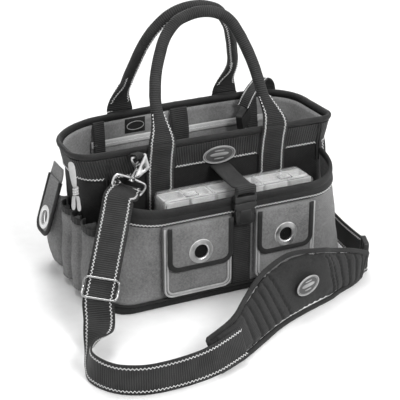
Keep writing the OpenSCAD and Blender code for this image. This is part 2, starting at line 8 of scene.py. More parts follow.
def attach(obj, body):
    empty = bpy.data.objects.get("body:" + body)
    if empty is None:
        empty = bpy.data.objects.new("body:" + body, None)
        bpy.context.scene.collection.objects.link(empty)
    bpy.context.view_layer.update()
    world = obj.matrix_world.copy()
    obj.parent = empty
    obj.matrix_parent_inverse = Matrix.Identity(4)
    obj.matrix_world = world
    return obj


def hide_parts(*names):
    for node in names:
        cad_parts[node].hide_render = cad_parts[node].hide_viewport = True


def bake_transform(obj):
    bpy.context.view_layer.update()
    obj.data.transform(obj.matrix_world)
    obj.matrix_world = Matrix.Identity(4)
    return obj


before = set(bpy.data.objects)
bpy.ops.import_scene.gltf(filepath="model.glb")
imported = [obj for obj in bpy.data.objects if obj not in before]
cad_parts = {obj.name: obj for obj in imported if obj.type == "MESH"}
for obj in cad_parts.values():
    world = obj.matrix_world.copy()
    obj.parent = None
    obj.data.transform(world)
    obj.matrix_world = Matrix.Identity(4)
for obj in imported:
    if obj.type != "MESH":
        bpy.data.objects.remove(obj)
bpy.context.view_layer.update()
MM = 0.001
X, Y, Z = np.eye(3)


def unit(rows):
    """Each vector at length 1."""
    rows = np.asarray(rows, float)
    return rows / np.linalg.norm(rows, axis=-1, keepdims=True)


# ---------- camera and lights ----------
def placed(name, data, place, way):
    """An object at a place in metres, a camera or lamp looking along way."""
    obj = bpy.data.objects.new(name, data)
    obj.location = place
    obj.rotation_mode = "QUATERNION"
    obj.rotation_quaternion = way.to_track_quat("-Z", "Y")
    bpy.context.scene.collection.objects.link(obj)
    return obj


RIGHT, UP = Vector((0.905, -0.4255, 0)), Vector((0.1855, 0.3946, 0.900))
BACK = Vector((-0.383, -0.8145, 0.436))
camera = placed("camera", bpy.data.cameras.new("camera"), (-0.8655, -1.8408, 0.985),
                RIGHT * 0.00357 + UP * 0.03985 - BACK)
camera.data.sensor_width = 36
camera.data.lens = 108.4
camera.data.clip_end = 50
bpy.context.scene.camera = camera
bpy.context.scene.view_settings.view_transform = "Standard"
MIDDLE = Vector((0, -0.05, 0.12))
for name, place, size, power in (("key", (0.3, -2.5, 1.9), 1.0, 50), ("left", (-2.2, -0.6, 1.6), 1.3, 5.5),
                                 ("right", (2.2, -0.6, 1.4), 1.4, 14), ("top", (-0.1, 0.3, 2.6), 1.5, 30),
                                 ("rear", (0.6, 2.4, 1.5), 1.4, 16)):
    data = bpy.data.lights.new(name, "AREA")
    data.shape, data.size, data.energy = "DISK", size, power
    placed(name, data, place, MIDDLE - Vector(place))
world = bpy.data.worlds.new("studio")
bpy.context.scene.world = world
world.use_nodes = True
world.node_tree.nodes["Background"].inputs[0].default_value = (1, 1, 1, 1)
world.node_tree.nodes["Background"].inputs[1].default_value = 0.5


# ---------- materials ----------
class Shader:
    """A procedural material under construction."""

    def __init__(self, name, rough=0.8, metal=0.0, **sockets):
        self.material = bpy.data.materials.new(name)
        self.material.use_nodes = True
        self.tree = self.material.node_tree
        self.bsdf = self.tree.nodes["Principled BSDF"]
        self.bsdf.inputs["Roughness"].default_value = rough
        self.bsdf.inputs["Metallic"].default_value = metal
        for key, value in sockets.items():
            self.bsdf.inputs[key.replace("_", " ")].default_value = value
        self.place = self.node("ShaderNodeTexCoord").outputs["Object"]

    def set(self, socket, value):
        if isinstance(value, bpy.types.NodeSocket):
            self.tree.links.new(value, socket)
        else:
            socket.default_value = value

    def node(self, kind, inputs=(), **settings):
        n = self.tree.nodes.new(kind)
        for key, value in settings.items():
            setattr(n, key, value)
        for key, value in dict(inputs).items():
            self.set(n.inputs[key], value)
        return n

    def uv(self):
        """Patterns follow the length and width of the piece."""
        self.place = self.node("ShaderNodeUVMap", uv_map="cloth").outputs[0]
        return self

    def mapped(self, stretch, turn=(0, 0, 0)):
        return self.node("ShaderNodeMapping", {"Vector": self.place, "Scale": stretch, "Rotation": turn}).outputs[0]

    def noise(self, scale, detail=2.0, stretch=None):
        place = self.mapped(stretch) if stretch else self.place
        return self.node("ShaderNodeTexNoise", {"Vector": place, "Scale": scale, "Detail": detail}).outputs["Fac"]

    def wave(self, pitch, axis, turn=(0, 0, 0), distort=0.0):
        """Bands pitch metres apart."""
        inputs = {"Vector": self.mapped((1, 1, 1), turn), "Scale": 0.314 / pitch, "Distortion": distort}
        return self.node("ShaderNodeTexWave", inputs, bands_direction=axis).outputs["Fac"]

    def math(self, how, a, b):
        return self.node("ShaderNodeMath", {0: a, 1: b}, operation=how).outputs[0]

    def total(self, first, *others):
        """Sum of values, each with its weight."""
        out = self.math("MULTIPLY", *first)
        for pair in others:
            out = self.math("ADD", out, self.math("MULTIPLY", *pair))
        return out

    def ramp(self, fac, low, high):
        """Grey that rises from low to high; each is a place and a grey."""
        r = self.node("ShaderNodeValToRGB", {0: fac})
        for e, (at, grey) in zip(r.color_ramp.elements, (low, high)):
            e.position = at
            e.color = (grey, grey, grey, 1)
        return r.outputs["Color"]

    def finish(self, colour, height, depth, rough=None):
        bump = self.node("ShaderNodeBump", {"Strength": 1.0, "Distance": depth, "Height": height})
        self.set(self.bsdf.inputs["Base Color"], colour)
        self.set(self.bsdf.inputs["Normal"], bump.outputs[0])
        if rough is not None:
            self.set(self.bsdf.inputs["Roughness"], rough)
        return self.material


def cloth(name, low, high, pitch=0.0017, depth=0.0004, rough=0.88, sheen=0.04):
    """Plain weave: two crossed thread directions, worn lighter and darker in patches."""
    s = Shader(name, rough, Sheen_Weight=sheen, Sheen_Roughness=0.5, Specular_IOR_Level=0.25)
    weave = s.math("MULTIPLY", s.wave(pitch, "X", (0, 0.6, 0.5), 0.4), s.wave(pitch, "Z", (0.35, 0.6, 0), 0.4))
    fine = s.noise(300, 3)
    mix = s.total((s.noise(14, 4), 0.5), (weave, 0.22), (fine, 0.42))
    return s.finish(s.ramp(mix, (0.34, low), (0.78, high)), s.total((weave, 1.0), (fine, 0.5)), depth)


def webbing(name, low, high, pitch=0.0026, depth=0.0005, axis="Y"):
    """Ribbed webbing: ribs across the length, broken by a fine twill."""
    s = Shader(name, 0.66, Sheen_Weight=0.04, Sheen_Roughness=0.45, Specular_IOR_Level=0.3).uv()
    height = s.total((s.wave(pitch, axis, distort=0.6), 1.0), (s.wave(pitch * 0.62, "X", (0, 0, 0.6)), 0.35))
    mix = s.total((height, 0.4), (s.noise(30, 4), 0.75))
    return s.finish(s.ramp(mix, (0.35, low), (0.95, high)), height, depth)


def metal(name, grey, rough=0.2):
    """Smudged metal with faint drawn lines."""
    s = Shader(name, rough, 1.0)
    smudge = s.noise(60, 4)
    return s.finish(s.ramp(smudge, (0.3, grey * 0.82), (0.7, grey)), s.noise(260, 3, (1, 1, 0.12)), 0.00006,
                    s.ramp(smudge, (0.3, rough * 0.7), (0.75, rough * 1.5)))


def plastic(name, low, high, rough=0.38, depth=0.00012, **sockets):
    """Fine-grained plastic with worn patches."""
    s = Shader(name, rough, **sockets)
    worn = s.noise(45, 4)
    return s.finish(s.ramp(worn, (0.35, low), (0.75, high)), s.noise(1500, 2), depth,
                    s.ramp(worn, (0.3, rough * 0.8), (0.7, rough * 1.25)))


GREY = cloth("grey_polyester", 0.11, 0.31)
LINING = cloth("grey_lining", 0.16, 0.38, 0.0015)
BLACK = cloth("black_nylon", 0.006, 0.026, 0.0021, 0.0005, 0.8, 0.04)
PADDING = cloth("black_pad_fabric", 0.014, 0.04, 0.0014, 0.0003, 0.8, 0.06)
BAND = webbing("ribbed_band", 0.005, 0.04, 0.0046, 0.0008, "X")
BINDING = webbing("black_binding", 0.007, 0.026, 0.002, 0.0003, "X")
WEBBING = webbing("black_webbing", 0.006, 0.04, 0.0036, 0.0006)
PIPING = webbing("grey_piping", 0.3, 0.55, 0.002, 0.0003, "X")
TAPE = webbing("light_tape", 0.4, 0.66, 0.0022, 0.0003)
THREAD = webbing("white_thread", 0.62, 0.9, 0.0012, 0.0002)
CHROME = metal("chrome", 0.5, 0.24)
SATIN = metal("satin_zinc", 0.85, 0.42)
ZINC = metal("zinc_steel", 0.62, 0.3)
ACETAL = plastic("black_acetal", 0.007, 0.02, 0.42)
# Near-black cloth for the discs behind the flap grommet holes: painted shade, not a real dark part.
PAINTED_HOLE_SHADE = cloth("hole_shadow", 0.0008, 0.004, 0.002, 0.0003)
BADGE = plastic("badge_vinyl", 0.24, 0.36, 0.55)
BADGE_RIM = plastic("badge_edge", 0.3, 0.42, 0.55)
BADGE_DARK = plastic("badge_ground", 0.05, 0.09, 0.6)
CLEAR = plastic("clear_plastic", 0.95, 0.98, 0.2, 0.00005, Transmission_Weight=0.88, IOR=1.12)
DIVIDER = plastic("clear_divider", 0.82, 0.9, 0.35, 0.0001, Transmission_Weight=0.1, IOR=1.4)
CLOUDY = plastic("cloudy_contents", 0.6, 0.68, 0.5, 0.0001)
PALE = plastic("pale_floor", 0.93, 0.97, 0.9, 0.00001)
PALE.node_tree.nodes["Principled BSDF"].inputs["Specular IOR Level"].default_value = 0.2


# ---------- making pieces ----------
def wrinkle(p, amp, size):
    """Smooth seeded swell at p (mm); neighbouring layers share it, so they stay apart."""
    q = Vector(p) / size
    return amp * (noise.noise(q) + 0.45 * noise.noise(q * 2.3 + Vector((7, 3, 5))))


def turns(n):
    """n equal angles round a circle."""
    return np.arange(n) * 2 * pi / n


def squared(c, power):
    """A sine or cosine raised to a power with its sign kept, for rounded-square sections."""
    return copysign(abs(c) ** power, c)


def lengths(path):
    """Distance along a path at each of its points."""
    return np.concatenate([[0], np.cumsum(np.linalg.norm(np.diff(path, axis=0), axis=1))])


# Slot of each material; webbing and thread take "black_webbing".
SLOTS = {GREY: "grey_polyester", PIPING: "grey_polyester", LINING: "grey_lining", BLACK: "black_nylon",
         BAND: "black_nylon", PAINTED_HOLE_SHADE: "black_nylon", BINDING: "black_binding", PADDING: "black_pad_fabric",
         TAPE: "light_tape", CHROME: "zinc_steel", SATIN: "zinc_steel", ACETAL: "black_acetal",
         BADGE: "badge_vinyl", BADGE_RIM: "badge_vinyl", BADGE_DARK: "badge_vinyl", DIVIDER: "clear_plastic",
         CLOUDY: "clear_plastic"}


def thicken(obj, thick, offset):
    """Thickness in mm, inwards at offset -1, outwards at 1 and both ways at 0."""
    m = obj.modifiers.new("thickness", "SOLIDIFY")
    m.thickness, m.offset, m.use_even_offset = thick * MM, offset, False


def build(name, verts, faces, material, body="root", slot=None, replaces=(), uv=None, swell=None, thick=0.0,
          smooth=True, subdivide=0):
    """Makes a mesh piece from points in mm, seats it on its body and gives it its material."""
    mesh = bpy.data.meshes.new(name)
    mesh.from_pydata([tuple(float(c) * MM for c in v) for v in verts], [], faces)
    mesh.update()
    if uv is not None:
        layer = mesh.uv_layers.new(name="cloth")
        layer.data.foreach_set("uv", np.array([c for f in uv for q in f for c in q], np.float32) * MM)
    bm = bmesh.new()
    bm.from_mesh(mesh)
    bmesh.ops.recalc_face_normals(bm, faces=bm.faces)
    bm.to_mesh(mesh)
    bm.free()
    if swell:
        amp, size = swell[:2]
        free = swell[2] if len(swell) > 2 else (lambda p: 1.0)
        normals = np.array([n.vector for n in mesh.vertex_normals])
        for v, n in zip(mesh.vertices, normals):
            p = np.array(v.co) / MM
            v.co += Vector(n) * (wrinkle(p, amp, size) * free(p) * MM)
    if smooth:
        mesh.polygons.foreach_set("use_smooth", [True] * len(mesh.polygons))
    mesh.materials.append(material)
    obj = bpy.data.objects.new(name, mesh)
    bpy.context.scene.collection.objects.link(obj)
    if thick:
        thicken(obj, abs(thick), -1 if thick > 0 else 1)
    if subdivide:
        m = obj.modifiers.new("smooth", "SUBSURF")
        m.levels = m.render_levels = subdivide
    slot = slot or SLOTS.get(material, "black_webbing")
    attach(obj, body)
    if replaces:
        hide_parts(*replaces)
    return obj


def grid(name, rows, material, wrap=False, close=False, caps=False, **settings):
    """A skin through rows of points. wrap joins each row's ends, close joins the last row to the first."""
    rows = np.array(rows, float)
    m, n = rows.shape[:2]
    gaps = lambda axis: np.linalg.norm(np.roll(rows, -1, axis) - rows, axis=2)
    across = np.concatenate([[0], np.cumsum(gaps(1)[::max(1, m // 8)].mean(0))])
    along = np.concatenate([[0], np.cumsum(gaps(0).mean(1))])
    faces, uv = [], []
    for i in range(m if close else m - 1):
        for j in range(n if wrap else n - 1):
            k, l = (i + 1) % m, (j + 1) % n
            faces.append((i * n + j, i * n + l, k * n + l, k * n + j))
            uv.append([(across[a], along[b]) for a, b in ((j, i), (j + 1, i), (j + 1, i + 1), (j, i + 1))])
    if caps:
        for row, order in ((0, range(n - 1, -1, -1)), (m - 1, range(n))):
            faces.append(tuple(row * n + j for j in order))
            uv.append([(across[j], along[row]) for j in order])
    return build(name, rows.reshape(-1, 3), faces, material, uv=uv, **settings)


def frames(path, side, closed=False):
    """The path as an array, with its direction, side and normal at each point."""
    path = np.array(path, float)
    d = unit(np.roll(path, -1, 0) - np.roll(path, 1, 0) if closed else np.gradient(path, axis=0))
    side = np.broadcast_to(np.array(side, float), path.shape)
    u = unit(side - d * (side * d).sum(1)[:, None])
    return path, d, u, np.cross(d, u)


def pipe(name, path, radius, material, side=(0, 0.13, 1), sides=10, closed=False, **settings):
    """Round wire, piping or thread along a path; radius is one number or a list."""
    path, d, u, n = frames(path, side, closed)
    radius = np.broadcast_to(radius, len(path))
    rows = [[p + r * (cos(a) * b + sin(a) * c) for a in turns(sides)] for p, r, b, c in zip(path, radius, u, n)]
    return grid(name, rows, material, wrap=True, close=closed, caps=not closed, **settings)


def spline(points, n=8):
    """Smooth curve through points, with n steps a span."""
    p = np.array(points, float)
    q = np.vstack([p[0], p, p[-1]])
    out = []
    for i in range(len(p) - 1):
        a, b, c, d = q[i:i + 4]
        for t in np.arange(n) / n:
            square, cube = 2 * a - 5 * b + 4 * c - d, 3 * b - a - 3 * c + d
            out.append((2 * b + (c - a) * t + square * t * t + cube * t ** 3) / 2)
    return np.array(out + [p[-1]])


def outward(line):
    """Level unit vectors to the right of a line that runs counter-clockwise."""
    way = np.gradient(line, axis=0)
    return unit([(v[1], -v[0], 0) for v in way])


def even(path, step):
    """The path resampled to equal steps; extra columns follow along."""
    path = np.array(path, float)
    s = lengths(path[:, :3])
    t = np.linspace(0, s[-1], max(2, int(round(s[-1] / step)) + 1))
    return np.array([np.interp(t, s, column) for column in path.T]).T


def zigzag(name, path, across, lift, body="root", pitch=6.0, amp=1.55, r=0.56, material=THREAD):
    """Zig-zag stitching along a path; across is the width direction and lift the way off the cloth."""
    shape = np.shape(path)
    data = even(np.hstack([path, np.broadcast_to(across, shape), np.broadcast_to(lift, shape)]), pitch / 2)
    points = [q[:3] + q[3:6] * (amp if k % 2 else -amp) + q[6:9] * r * 0.7 for k, q in enumerate(data)]
    verts, faces = [], []
    for a, b in zip(points, points[1:]):
        d = unit(b - a)
        side = unit(np.cross(d, data[len(verts) // 8][6:9]))
        up = np.cross(side, d)
        k = len(verts)
        for end, far in ((a, -0.3), (b, 0.3)):
            for s, t in ((1, 0), (0, 1), (-1, 0), (0, -1)):
                verts.append(end + d * far + side * s * r + up * t * r * 0.8)
        faces += [(k, k + 1, k + 5, k + 4), (k + 1, k + 2, k + 6, k + 5), (k + 2, k + 3, k + 7, k + 6),
                  (k + 3, k, k + 4, k + 7), (k + 3, k + 2, k + 1, k), (k + 4, k + 5, k + 6, k + 7)]
    uv = [[(0, 0), (1, 0), (1, 2), (0, 2)] for f in faces]
    return build(name, verts, faces, material, body=body, uv=uv, slot="black_webbing", smooth=False)


def bend(piece, *joint):
    """Takes a piece off its body and bakes its place into its points; the joint, two bodies and the ends of the soft
    stretch, is not used.
    """
    piece.parent = None
    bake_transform(piece)


def dress(material, *nodes):
    """Gives carried-over CAD nodes their material."""
    for node in nodes:
        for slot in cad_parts[node].material_slots:
            slot.material = material


# ---------- outline of the compartment (mm), as in the CAD ----------
RIM_H, POCKET_Y, FRONT_H, FRONT_DEPTH = 262, -185, 176, 95
HALF = 25.4  # half the width of the 2-inch webbing
FEET = {"left": -111, "right": 105}  # X of the handles' feet


def look(x, table):
    """Value at x of a table of (place, value) pairs, straight between them."""
    return float(np.interp(x, [a for a, b in table], [b for a, b in table]))


# The four walls at height z, how far the back bulges, and the radii of the corners.
def left_x(z): return look(z, [(0, -228), (208, -248), (262, -265)])
def right_x(z): return look(z, [(0, 228), (208, 222), (262, 230)])
def front_y(z): return look(z, [(0, -88), (208, -90), (262, -98)])
def back_y(z): return look(z, [(0, 80), (208, 80), (262, 70)])
def bulge(x, z): return look(z, [(0, 0), (208, 8), (262, 20)]) * cos(radians((x - 60) * 180 / 500))


def radii(z):
    return [look(z, [(0, a), (262, b)]) for a, b in ((30, 24), (40, 62), (40, 104), (40, 36))]


def corner(cx, cy, r, a, n=10):
    """Quarter circle that starts at angle a, in degrees."""
    return [(cx + r * cos(radians(a + i * 90 / n)), cy + r * sin(radians(a + i * 90 / n)))
            for i in range(n + 1)]


def between(p, q, n):
    """The n - 1 points that split the line from p to q into n."""
    return [(p[0] + (q[0] - p[0]) * i / n, p[1] + (q[1] - p[1]) * i / n) for i in range(1, n)]


def rounded(x0, x1, y0, y1, r, n=24):
    """Rectangle with radii r at its front right, back right, back left and front left corners."""
    fr = corner(x1 - r[0], y0 + r[0], r[0], -90)
    br = corner(x1 - r[1], y1 - r[1], r[1], 0)
    bl = corner(x0 + r[2], y1 - r[2], r[2], 90)
    fl = corner(x0 + r[3], y0 + r[3], r[3], 180)
    m = max(n // 2, 1)
    return (fr + between(fr[-1], br[0], m) + br + between(br[-1], bl[0], n) + bl
            + between(bl[-1], fl[0], m) + fl + between(fl[-1], fr[0], n))


def ring(z, o=0.0, n=48):
    """The compartment's outline at height z, o mm outside it."""
    flat = rounded(left_x(z) - o, right_x(z) + o, front_y(z) - o, back_y(z) + o,
                   [max(r + o, 2) for r in radii(z)], n)
    return np.array([(x, y + (bulge(x, z) * y / back_y(z) if y > 0 else 0), z) for x, y in flat])


def pocket_path(o, z):
    """The front pocket's wall at height z, o mm outside it, from its left end to its right end."""
    h = z / FRONT_H
    x0, x1, y0 = -236 + 22 * h - o, 222 - 14 * h + o, POCKET_Y + 2 * h - o
    left, right, y1 = 36 + 46 * h + o, 50 + 25 * h + o, -95
    a, b = (x0, min(y1 - 1, y0 + left + 1)), (x1, min(y1 - 1, y0 + right + 1))
    fl, fr = corner(x0 + left, y0 + left, left, 180, 16), corner(x1 - right, y0 + right, right, 270, 16)
    return np.array([(x0, y1), *between((x0, y1), a, 4), a, *fl, *between(fl[-1], fr[0], 44), *fr, b,
                     *between(b, (x1, y1), 4), (x1, y1)])


def pocket_top(x, y):
    return FRONT_H + (10 if x < 0 else 24) * (y - POCKET_Y) / FRONT_DEPTH


def pocket_row(o, z, top=False):
    """Points of the front pocket's wall, z from its top edge if top is true."""
    out = []
    for i, (x, y) in enumerate(pocket_path(0, FRONT_H)):
        h = z + (pocket_top(x, y) if top else 0)
        out.append((*pocket_path(o, h)[i], h))
    return np.array(out)


# ---------- floor ----------
floor_mesh = bpy.data.meshes.new("floor")
FLOOR_HALF, FLOOR_Z = 9, -0.0006
corners = [(x * FLOOR_HALF, y * FLOOR_HALF, FLOOR_Z) for x, y in ((-1, -1), (1, -1), (1, 1), (-1, 1))]
floor_mesh.from_pydata(corners, [], [(0, 1, 2, 3)])
floor_mesh.materials.append(PALE)
floor = bpy.data.objects.new("floor", floor_mesh)
bpy.context.scene.collection.objects.link(floor)

# ---------- main compartment ----------
SWELL = (1.5, 42)


def fade(low, high):
    """Wrinkles die out towards a firm edge at height high."""
    return lambda p: min(1.0, max(0.0, (high - p[2]) / (high - low)))


grid("body_shell", [ring(z) for z in np.linspace(12.6, 249, 30)], BLACK, wrap=True, thick=2.6,
     swell=(*SWELL, fade(150, 240)), replaces=["main_shell"])
grid("inner_lining", [ring(z, -5.0) for z in np.linspace(19.5, 249, 28)], LINING, wrap=True, thick=0.8,
     swell=(1.7, 42, fade(190, 252)), replaces=["lining"])
dress(LINING, "base_board")
outline = [(1.2, 0.6), (0.3, 2.4), (0, 5), (0, 8.5), (0.6, 11), (2.5, 12)]
rows = [[(x, y, z) for x, y in rounded(-238 + o, 224 - o, -187 + o, 84 - o, [50 - o, 40 - o, 40 - o, 36 - o], 20)]
        for o, z in [(3, 0)] + outline]
grid("base_wrap", rows, BLACK, wrap=True, caps=True, slot="black_plastic_sheet", replaces=["base_panel"])

# Ribbed band: a sheet with a thick folded lower edge and two rows of ridges.
profile = [(0.6, 208), (2.2, 208.4), (2.5, 210.5), (2.1, 213), (2.2, 230), (2.1, 244), (2.5, 247), (2.2, 249)]
grid("rim_band", [ring(z, o, 96) for o, z in profile], BAND, wrap=True, thick=1.6,
     swell=(0.5, 30), replaces=["upper_band"])
lip = [(-0.6 + 5.1 * cos(a) * (1.0 if cos(a) > 0 else 0.95), 255.6 + 6.3 * sin(a)) for a in turns(14)]
grid("rim_roll", [ring(z, o, 72) for o, z in lip], BINDING, wrap=True, close=True,
     swell=(0.45, 17), replaces=["rim_binding"])


def ring_line(z, o, keep):
    """Part of the compartment's outline where keep(x, y) holds, as separate runs with their outward way."""
    line = even(np.vstack([ring(z, o, 60), ring(z, o, 60)[:1]]), 3)
    runs, run = [], []
    for p, w in zip(line, outward(line)):
        if keep(p[0], p[1]):
            run.append((p, w))
        elif run:
            runs.append(run)
            run = []
    if run:
        runs.append(run)
    return [r for r in runs if len(r) > 4]


END_SEAMS = {"left": -205, "right": 201}


def band_gap(x, y):
    """False where the handle webbing or a seam breaks the stitching."""
    if any(abs(x - foot) < 29 for foot in FEET.values()) and abs(y) > 60:
        return False
    return not (y < -60 and any(abs(x - seam) < 6 for seam in END_SEAMS.values()))


for i, run in enumerate(ring_line(212, 2.6, band_gap)):
    zigzag(f"band_stitch_{i}", np.array([p for p, w in run]), Z, np.array([w for p, w in run]))
for tag, x in END_SEAMS.items():
    for s, edge in ((-2.6, "a"), (2.6, "b")):
        line = [(x + s, front_y(z) - 2.4, z) for z in np.linspace(178, 248, 12)]
        pipe(f"end_seam_{tag}_{edge}", line, 1.3, BINDING, side=X, sides=8)

# ---------- front pocket ----------
wall = [pocket_row(0, z) for z in np.linspace(12.6, 140, 14)]
wall += [pocket_row(0, -30 + 29 * t, True) for t in np.linspace(0, 1, 4)]


def slack(p):
    """Wrinkles die out towards the top edge, and are low behind the flap pockets."""
    return min(1.0, max(0.0, (150 - p[2]) / 60)) * (0.35 if abs(p[0] + 6) < 150 and p[1] < -175 else 1.0)


grid("front_pocket_wall", wall, GREY, thick=2.2, swell=(2.4, 48, slack), replaces=["front_pocket"])
profile = [(0.5, -27), (1.7, -26.6), (2.2, -24), (2.0, -13), (1.3, -11.5), (2.7, -9.5), (3.5, -5), (3.5, -1), (2.2, 2),
           (-0.6, 2.8), (-3.0, 1.4), (-3.7, -3), (-3.3, -10), (-2.7, -10), (-2.7, -0.6), (0.5, -0.6)]
grid("front_pocket_edge", [pocket_row(o, z, True) for o, z in profile], BINDING, close=True,
     replaces=["front_pocket_band"])
edge = pocket_row(2.4, -23.2, True)
zigzag("front_pocket_stitch", edge[3:-3], Z, outward(edge)[3:-3])
pipe("front_pocket_piping", pocket_row(1.4, 14.2), 2.6, BINDING, sides=8)

# ---------- parts case ----------
dress(CLEAR, "parts_case", "parts_case_lid")
dress(DIVIDER, "parts_case_dividers")
for k in range(6):
    x0, x1 = -132 + 47 * k + 2.2, -132 + 47 * (k + 1) - 2.2
    for tag, y0, y1, z1 in (("lid", -162.6, -154, 178.6), ("body", -151.6, -119, 178.2)):
        tall = z1 - 26 - 5 * ((k * 3 + (tag == "lid")) % 4)
        deep = 1.3 if tag == "lid" else 3
        profile = ((1, tall - 6), (0, tall - 5), (0, z1 - 0.6), (0.4, z1), (deep - 0.5, z1), (deep, z1 - 1),
                   (deep + 0.3, z1 - 9), (deep + 1.2, z1 - 10.5))
        rows = [[(x, y, z) for x, y in rounded(x0 + o, x1 - o, y0 + o, y1 - o, [max(3 - o, 1.2)] * 4, 2)]
                for o, z in profile]
        grid(f"case_{tag}_cup_{k}", rows, DIVIDER if (k + (tag == "lid")) % 3 else CLOUDY, wrap=True, caps=True)


# ---------- plates that bulge ----------
def round_rect(x0, x1, z0, z1, low, high, n=6):
    """Outline in X and Z, counter-clockwise from the lower right corner."""
    pts = []
    for cx, cz, r, a in ((x1 - low, z0 + low, low, -90), (x1 - high, z1 - high, high, 0),
                         (x0 + high, z1 - high, high, 90), (x0 + low, z0 + low, low, 180)):
        pts += corner(cx, cz, max(r, 0.5), a, n)
    return [q for a, b in zip(pts, pts[1:] + pts[:1]) for q in [a] + between(a, b, max(1, int(dist(a, b) / 8)))]


def crowned(name, outline, y, back, crown, material, rounding=2.5, rings=7, hole=None, **settings):
    """Plate in X and Z whose face towards -Y swells by crown; back is its thickness. hole is (x, z, r)."""
    pts = np.array(outline)
    mid = np.array(hole[:2]) if hole else pts.mean(0)
    inward = unit(mid - pts)
    base, inner = pts + inward * rounding, mid - inward * (hole[2] if hole else 0.5)
    level = lambda q, depth: [(a, y + depth, b) for a, b in q]
    rows = [level(pts, back), level(pts, rounding)]
    rows += [level(pts + inward * rounding * (1 - cos(a)), rounding * (1 - sin(a))) for a in (0.5, 1.0, 1.57)]
    rows += [level(base + (inner - base) * t, -crown * (1 - (1 - t) ** 2)) for t in np.linspace(0, 1, rings + 1)[1:]]
    if hole:
        return grid(name, rows + [level(inner, back)], material, wrap=True, close=True, **settings)
    return grid(name, rows, material, wrap=True, caps=True, **settings)


def u_line(x0, x1, z0, z1, r, y, n=10):
    """Down the left side, round both lower corners and up the right side."""
    left = [(x0, y, z1 - (z1 - z0 - r) * i / 8) for i in range(9)]
    right = [(x1, y, z0 + r + (z1 - z0 - r) * i / 8) for i in range(9)]
    a = [(x0 + r - r * cos(t), y, z0 + r - r * sin(t)) for t in np.linspace(0.15, 1.57, n)]
    b = [(x1 - r + r * sin(t), y, z0 + r - r * cos(t)) for t in np.linspace(0, 1.42, n)]
    return left + a + b + right


def bound(rim, side, half, high):
    """Rows of an oval binding along a rim: half its width, and how high it stands towards the side."""
    path, _, u, n = frames(rim, side)
    return [[p + half * cos(a) * w + high * sin(a) * v for a in turns(12)] for p, v, w in zip(path, u, n)]


FACE = POCKET_Y - 0.3
GROMMET_Z = 100
for side, x0, x1, s0, s1 in (("left", -150, -26, -146, -24), ("right", 22, 136, 22, 132)):
    body = f"flap_{side}"
    crowned(f"flap_pocket_{side}_pouch", round_rect(x0, x1, 22, 150, 14, 4), FACE - 10.5, 10.3, 1.0, GREY, 4,
            swell=(0.45, 30), replaces=[f"flap_pocket_{side}"])
    for k, inset in enumerate((1.2, 5.6)):
        line = u_line(x0 + inset, x1 - inset, 22 + inset, 149, 14 - inset / 2, FACE - 11.6 - 0.5 * k)
        pipe(f"flap_pocket_{side}_piping_{k}", line, 1.9, PIPING, side=Y, sides=8)
    mid = (s0 + s1) / 2
    crowned(f"flap_{side}_panel", round_rect(s0 + 5, s1 - 5, 73, 150.2, 17, 1), FACE - 15.2, 1.8, 1.4, GREY, 1,
            hole=(mid, GROMMET_Z, 13.5), body=body, replaces=[f"flap_{side}"])
    rim = u_line(s0 + 4.6, s1 - 4.6, 72.6, 150, 16, FACE - 15.4, 14)
    grid(f"flap_{side}_edge", bound(rim, Y, 4.6, 2.1), BINDING, wrap=True, caps=True, body=body, swell=(0.35, 14),
         replaces=[f"flap_{side}_binding"])
    # A near-black disc just behind each grommet hole: painted shade where the pouch under the flap lies in shadow.
    rows = [[(mid + r * cos(a), FACE - y, GROMMET_Z + r * sin(a)) for a in turns(24)]
            for r, y in ((12.4, 14.4), (12.3, 13.4), (6, 13.1), (0.3, 13))]
    grid(f"flap_{side}_painted_shade_disc", rows, PAINTED_HOLE_SHADE, wrap=True, body=body)
dress(SATIN, "flap_left_grommet", "flap_right_grommet", "side_flap_ring")

# ---------- centre strip and closure strap ----------
centre = [[(x, FACE - 0.4 - 1.9 * sin(pi * (x + 19) / 36) ** 0.3, z) for x in np.linspace(-19, 17, 9)]
          for z in np.linspace(13, 148, 24)]
grid("centre_webbing", centre, WEBBING, thick=1.2, swell=(0.4, 25), replaces=["center_strip"])
CLOSURE = spline([(2, -92, 203), (1.5, -99, 203.5), (1, -112, 203.0), (0, -130, 201.4), (0, -150, 199.6),
                  (-1, -168, 198.8), (-1, -182, 198.6), (-1, -190.5, 200.4), (-1, -196.5, 202.6), (-1, -202, 200),
                  (-1, -203.2, 194), (-1, -200, 188.6)], 5)
closure = grid("closure_webbing", [[p + (x, 0, 0.4 * cos(x / 6)) for x in np.linspace(-18, 18, 9)] for p in CLOSURE],
               WEBBING, thick=1.8, swell=(0.5, 22), replaces=["closure_strap"])
closure.parent = None
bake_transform(closure)
BUCKLE_X = -1


def fine(outline, step=2.0):
    """A closed outline resampled to equal steps."""
    return [tuple(q) for q in even(outline + outline[:1], step)[:-1]]


def mirrored(half):
    """Fine outline in X and Z from points of its right half, from the bottom up."""
    return fine([(BUCKLE_X + s * x, z) for s, points in ((1, half), (-1, half[::-1])) for x, z in points])


